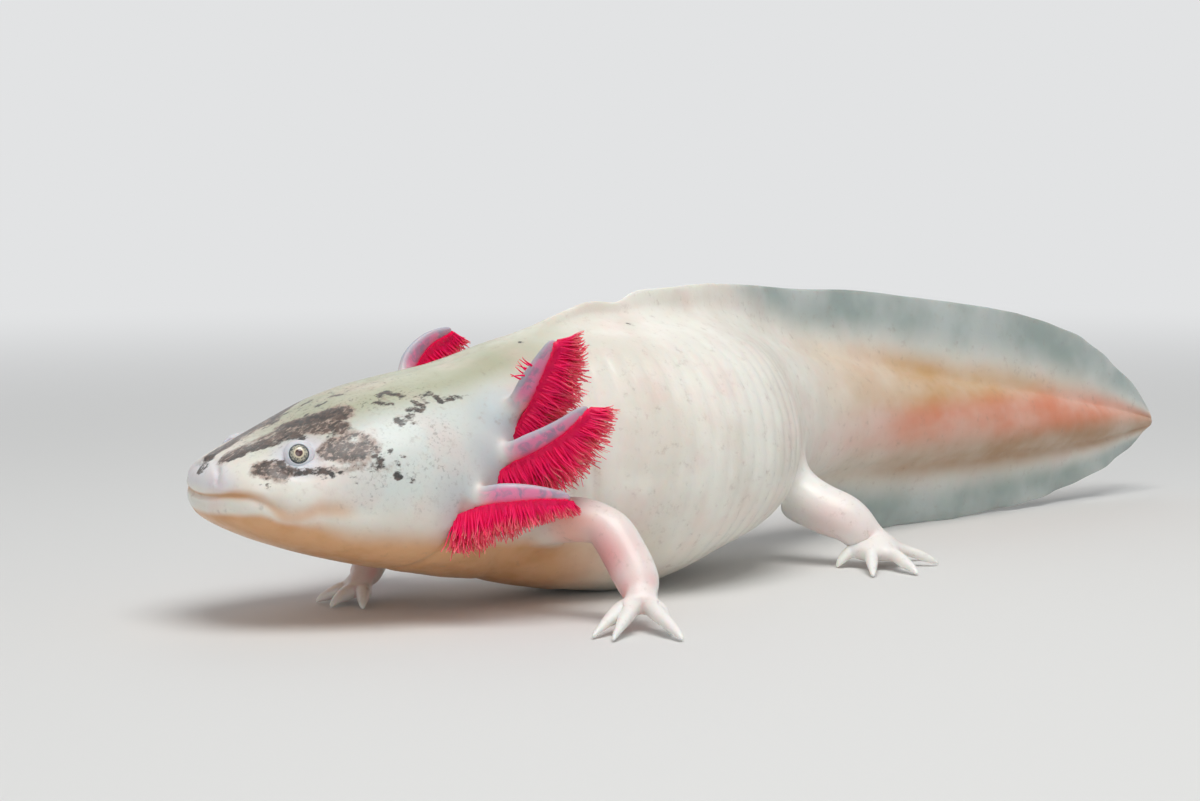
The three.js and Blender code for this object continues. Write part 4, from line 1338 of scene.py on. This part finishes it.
FILAMENTS_PER_ROW = 210
FILAMENT_ROWS = (-0.6, -0.2, 0.2, 0.6)  # across the stalk, in half thicknesses
FILAMENT_RADIUS = 0.18
FILAMENT_STEPS, FILAMENT_SIDES = 8, 4
FILAMENT_CURL = 0.22  # sideways bend at the tip, in lengths
FILAMENT_LUMPS = 2.4  # size of the unevenness of the bends
FILAMENT_TIP = 0.32  # radius at the tip over that at the root
FILAMENT_SPLAY, TUFT_SPLAY = 0.42, 0.3  # how far the outer rows lean apart
FILAMENT_LENGTHS = (0.7, 1.12)  # shortest and longest over the fringe's length
HANG_SQUARE = 0.9  # how far a hang along the stalk is turned away from it
ROOT_OUT = 0.6  # where the roots are, in half widths from the stalk's middle
LEAN_TIP, LEAN_ROOT = 0.72, 0.3  # towards the tip at the tip, and back at the root
LOOSE, LOOSE_TIP = 0.09, 0.14  # unevenness of the lean, and what the tip adds to it
FRINGE_START, FRINGE_END, BODY_END = 0.04, 0.985, 0.93  # along the stalk
BODY_FILAMENTS, BODY_LENGTH, BODY_GIRTH = 90, 0.8, 5.2  # thick ones that close the fringe's root
ROOT_LIFT = 1.6  # how far the first filaments stand out of the neck
FRONT_TUFTS = {  # short filaments on the other edge: from, to, number and length
    "gill_left_upper": (0.52, 0.68, 7, 2.6),
}
BAKE_CELL = 0.6  # side of a filament's patch over that of its cell in the map


def named(n, name, kind="FLOAT"):
    return n.add("GeometryNodeInputNamedAttribute", {"Name": name}, data_type=kind)


def scaled(n, vector, scale):
    return n.add("ShaderNodeVectorMath", {0: vector, "Scale": scale}, operation="SCALE")


def filament_blade(n, radius):
    """One straight, tapered filament of unit length along +Z, which says how near its tip it is."""
    line = n.add("GeometryNodeCurvePrimitiveLine", {"Start": (0, 0, 0), "End": (0, 0, 1)})
    line = n.add("GeometryNodeResampleCurve", {"Curve": line, "Count": FILAMENT_STEPS})
    tip = n.add("GeometryNodeSplineParameter", output="Factor")
    line = n.add("GeometryNodeStoreNamedAttribute", {"Geometry": line, "Name": "tip", "Value": tip},
                 data_type="FLOAT", domain="POINT")
    taper = n.between(tip, 0.2, 1.0, 1.0, FILAMENT_TIP, smooth=False)
    profile = n.add("GeometryNodeCurvePrimitiveCircle", {"Resolution": FILAMENT_SIDES, "Radius": radius})
    inputs = {"Curve": line, "Profile Curve": profile, "Scale": taper, "Fill Caps": True}
    return n.add("GeometryNodeCurveToMesh", inputs)


def filament_bend(n, curl, lump_size):
    """How far each corner moves: along its filament's bow and by noise, most at the tip."""
    inputs = {"Vector": n.add("GeometryNodeInputPosition"), "Scale": lump_size, "Detail": 1.0}
    lumps = n.add("ShaderNodeTexNoise", inputs, output=1)
    lumps = n.add("ShaderNodeVectorMath", {0: lumps, 1: (0.5, 0.5, 0.5)}, operation="SUBTRACT")
    tip = named(n, "tip")
    weight = n.times(n.times(tip, tip), n.times(named(n, "reach"), curl))
    bow = scaled(n, named(n, "bow", "FLOAT_VECTOR"), weight)
    return n.add("ShaderNodeVectorMath", {0: scaled(n, lumps, n.times(weight, 2.2)), 1: bow}, operation="ADD")


def filament_tree():
    """Geometry nodes that grow one filament on each root, along its hang and as long as its reach."""
    tree = bpy.data.node_groups.new("gill filaments", "GeometryNodeTree")
    make = tree.interface.new_socket
    make("Geometry", in_out="OUTPUT", socket_type="NodeSocketGeometry")
    make("Roots", in_out="INPUT", socket_type="NodeSocketGeometry")
    for name in ("Radius", "Curl", "Lump Size"):
        make(name, in_out="INPUT", socket_type="NodeSocketFloat")
    make("Material", in_out="INPUT", socket_type="NodeSocketMaterial")
    n = Nodes(tree)
    given = n.nodes.new("NodeGroupInput").outputs
    girth = named(n, "girth")
    stretch = n.add("ShaderNodeCombineXYZ", {"X": girth, "Y": girth, "Z": named(n, "reach")})
    hang = named(n, "hang", "FLOAT_VECTOR")
    turned = n.add("FunctionNodeAlignRotationToVector", {"Vector": hang}, axis="Z")
    blade = filament_blade(n, given["Radius"])
    inputs = {"Points": given["Roots"], "Instance": blade, "Rotation": turned, "Scale": stretch}
    shape = n.add("GeometryNodeInstanceOnPoints", inputs)
    shape = n.add("GeometryNodeRealizeInstances", {"Geometry": shape})
    bend = filament_bend(n, given["Curl"], given["Lump Size"])
    shape = n.add("GeometryNodeSetPosition", {"Geometry": shape, "Offset": bend})
    shape = n.add("GeometryNodeSetShadeSmooth", {"Geometry": shape})
    shape = n.add("GeometryNodeSetMaterial", {"Geometry": shape, "Material": given["Material"]})
    n.links.new(shape, n.nodes.new("NodeGroupOutput").inputs[0])
    return tree


def filament_roots(name, gill):
    """Place, hang, bow, length, tint and girth of each filament of a gill, in millimetres."""
    random = np.random.default_rng(sum(name.encode()))
    line, along = places(gill["stalk"]), gill["stalk"][0][0]
    outward = direct(along, (0, math.copysign(1, gill["stalk"][0][1]), 0))
    roots = []

    def root_at(t, row, hand, length, splay, girth=1.0):
        centre, tangent = spline(line, t), tangents(line, t)
        hang = hang_at(gill, along, t)
        hang = unit(hang - tangent * (hang @ tangent) * HANG_SQUARE)
        thin = unit(np.cross(tangent, hang))
        width = float(evenly(STALK_WIDTHS, t))
        spot = centre + hang * hand * width * ROOT_OUT + thin * row * width * STALK_FLATNESS
        spot = spot + outward * ROOT_LIFT * (1 - float(rise(t, 0.05, 0.35)))
        loose = LOOSE + LOOSE_TIP * rise(t, 0.75, 1.0)
        lean = LEAN_TIP * rise(t, 0.5, 1.0) - LEAN_ROOT * (1 - rise(t, 0, 0.25)) + random.normal(0, loose)
        aim = unit(hang * hand + thin * (row * splay + random.normal(0, 0.1)) + tangent * lean)
        bow = unit(tangent * random.normal(0.6, 0.9) + thin * random.normal(0, 0.8) + (0, 0, -0.25))
        length = length * random.uniform(*FILAMENT_LENGTHS)
        roots.append((spot, aim, bow, length, random.uniform(0, 1), girth))

    for row in FILAMENT_ROWS:
        for k in range(FILAMENTS_PER_ROW):
            share = (k + random.uniform(0.1, 0.9)) / FILAMENTS_PER_ROW
            length = float(evenly(gill["fringe"], share))
            length = length * (0.85 + 0.15 * float(rise(share, 0, 0.1))) * (1 - 0.1 * abs(row))
            root_at(mix(FRINGE_START, FRINGE_END, share), row, 1, length, FILAMENT_SPLAY)
    for k in range(BODY_FILAMENTS):
        share = (k + 0.5) / BODY_FILAMENTS
        length = BODY_LENGTH * float(evenly(gill["fringe"], share))
        length *= 1 - 0.45 * float(rise(share, 0.8, 1.0))
        root_at(mix(FRINGE_START, BODY_END, share), 0, 1, length, 0, BODY_GIRTH)
    start, end, count, length = FRONT_TUFTS.get(name, (0, 0, 0, 0))
    for k in range(count):
        share = (k + random.uniform(0, 1)) / count
        root_at(mix(start, end, share), random.uniform(-0.4, 0.4), -1, length, TUFT_SPLAY)
    return [np.array(column) for column in zip(*roots)]


def place_bake_map(mesh, count):
    """A UV map that gives each filament its own cell of a grid."""
    side = math.ceil(math.sqrt(count))
    per_filament = len(mesh.vertices) // count
    corner_of = read_field(mesh.loops, "vertex_index", 1, np.int32)
    filament, within_it = corner_of // per_filament, corner_of % per_filament
    step, turn = within_it // FILAMENT_SIDES, within_it % FILAMENT_SIDES
    margin = (1 - BAKE_CELL) / 2
    u = (filament % side + margin + BAKE_CELL * step / (FILAMENT_STEPS - 1)) / side
    v = (filament // side + margin + BAKE_CELL * turn / (FILAMENT_SIDES - 1)) / side
    layer = mesh.uv_layers.new(name="OFBake")
    layer.data.foreach_set("uv", np.stack([u, v], 1).astype(np.float32).ravel())


def make_filaments(name, gill, tree, material):
    """All the filaments of one gill as one mesh."""
    spots, aims, bows, lengths, tints, girths = filament_roots(name, gill)
    piece = make_object(name + "_filaments", spots, [])
    for label, values in (("hang", aims), ("bow", bows)):
        layer = piece.data.attributes.new(label, "FLOAT_VECTOR", "POINT")
        layer.data.foreach_set("vector", values.astype(np.float32).ravel())
    keep_marks(piece.data, {"reach": lengths * MM, "tint": tints, "girth": girths})
    grow = piece.modifiers.new("filaments", "NODES")
    grow.node_group = tree
    given = {item.name: item.identifier for item in tree.interface.items_tree if item.in_out == "INPUT"}
    grow[given["Radius"]] = FILAMENT_RADIUS * MM
    grow[given["Curl"]] = FILAMENT_CURL
    grow[given["Lump Size"]] = 1 / (FILAMENT_LUMPS * MM)
    grow[given["Material"]] = material
    place_bake_map(evaluated(piece), len(spots))
    return piece


# ---- stage, lights and camera

CAMERA_AT = (-355.58, -329.18, 70.3)
CAMERA_AIM = (0.68709, 0.72657)  # on the floor plan
CAMERA_DOWN = 5.34  # degrees below the horizon
SENSOR, LENS = 36.0, 90.0
PALE = colour(226, 227, 228)
FLOOR_GREY, SKY = colour(222, 222, 220), colour(236, 240, 246)
SKY_POWER = 0.36
FLOOR_HALF, FLOOR_AT = 9000, -0.05
FLOOR_FADES = (170.0, 680.0)  # where the floor runs out into the backdrop's colour
LAMPS_AIM = (0, 0, 20)
LAMPS = {  # place, size, power and tint
    "top softbox": ((-120, -200, 640), 480, 3.1, (1.0, 0.985, 0.965)),
    "front fill": ((-620, -420, 260), 500, 0.6, (0.96, 0.98, 1.0)),
    "back rim": ((420, 520, 520), 500, 0.5, (1, 1, 1)),
}


def shows_background(n):
    """1 for what the camera, a reflection or a transparent piece sees, 0 for the light on the object."""
    path = n.nodes.new("ShaderNodeLightPath").outputs
    seen = n.sum(path["Is Camera Ray"], path["Is Glossy Ray"], "MAXIMUM")
    return n.sum(seen, path["Is Transmission Ray"], "MAXIMUM")


def set_stage():
    """A plain pale floor that runs out into the world's own pale colour."""
    spots = [(x * FLOOR_HALF, y * FLOOR_HALF, FLOOR_AT) for x, y in ((-1, -1), (1, -1), (1, 1), (-1, 1))]
    floor = make_object("floor", spots, [(0, 1, 2, 3)])
    material, n, shader = new_material("pale floor")
    finish_shader(n, shader, Base_Color=FLOOR_GREY, Roughness=0.85)
    glow = n.add("ShaderNodeEmission", {"Color": PALE, "Strength": 1.0})
    away = n.add("ShaderNodeVectorMath", {0: n.place()}, output="Value", operation="LENGTH")
    far = n.between(away, *(edge * MM for edge in FLOOR_FADES))
    share = n.times(far, shows_background(n))
    mixed = n.add("ShaderNodeMixShader", {"Fac": share, 1: shader.outputs[0], 2: glow})
    n.links.new(mixed, n.nodes["Material Output"].inputs["Surface"])
    floor.data.materials.append(material)


def set_world():
    world = bpy.data.worlds.new("studio")
    world.use_nodes = True
    n = Nodes(world.node_tree)
    light = n.nodes["Background"]
    light.inputs["Color"].default_value = SKY
    light.inputs["Strength"].default_value = SKY_POWER
    shown = n.add("ShaderNodeBackground", {"Color": PALE, "Strength": 1.0})
    mixed = n.add("ShaderNodeMixShader", {"Fac": shows_background(n), 1: light.outputs[0], 2: shown})
    n.links.new(mixed, n.nodes["World Output"].inputs["Surface"])
    bpy.context.scene.world = world


def put_up(name, data, at, aim):
    """A lamp or camera at a place in millimetres, looking along a direction."""
    piece = bpy.data.objects.new(name, data)
    piece.location = Vector(at) * MM
    piece.rotation_euler = aim.to_track_quat("-Z", "Y").to_euler()
    bpy.context.scene.collection.objects.link(piece)
    return piece


def add_lamp(name, at, size, power, tint):
    lamp = bpy.data.lights.new(name, "AREA")
    lamp.shape = "DISK"
    lamp.size = size * MM
    lamp.energy = power
    lamp.color = tint
    put_up(name, lamp, at, (Vector(LAMPS_AIM) - Vector(at)) * MM)


def set_camera():
    camera = bpy.data.cameras.new("camera")
    camera.sensor_width, camera.lens = SENSOR, LENS
    aim = Vector((*CAMERA_AIM, -math.tan(math.radians(CAMERA_DOWN))))
    bpy.context.scene.camera = put_up("camera", camera, CAMERA_AT, aim)


# ---- the whole model

bpy.context.scene.view_settings.view_transform = "Standard"
set_camera()
set_stage()
set_world()
for lamp_name, lamp_settings in LAMPS.items():
    add_lamp(lamp_name, *lamp_settings)

skin = make_skin()
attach(skin, "root")
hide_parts(*[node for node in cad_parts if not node.startswith("eye") and "fringe" not in node])

eye_finish = eye_material()
for eye_name, eye_side in (("eye_ball_left", 1), ("eye_ball_right", -1)):
    eye = make_eye(eye_name, eye_side, eye_finish)
    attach(eye, "root")
    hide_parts(eye_name.replace("_ball", ""))

filament_nodes, filament_finish = filament_tree(), gill_material()
for gill_name, gill_shape in GILLS.items():
    filaments = make_filaments(gill_name, gill_shape, filament_nodes, filament_finish)
    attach(filaments, "root")
    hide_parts(gill_name + "_fringe")
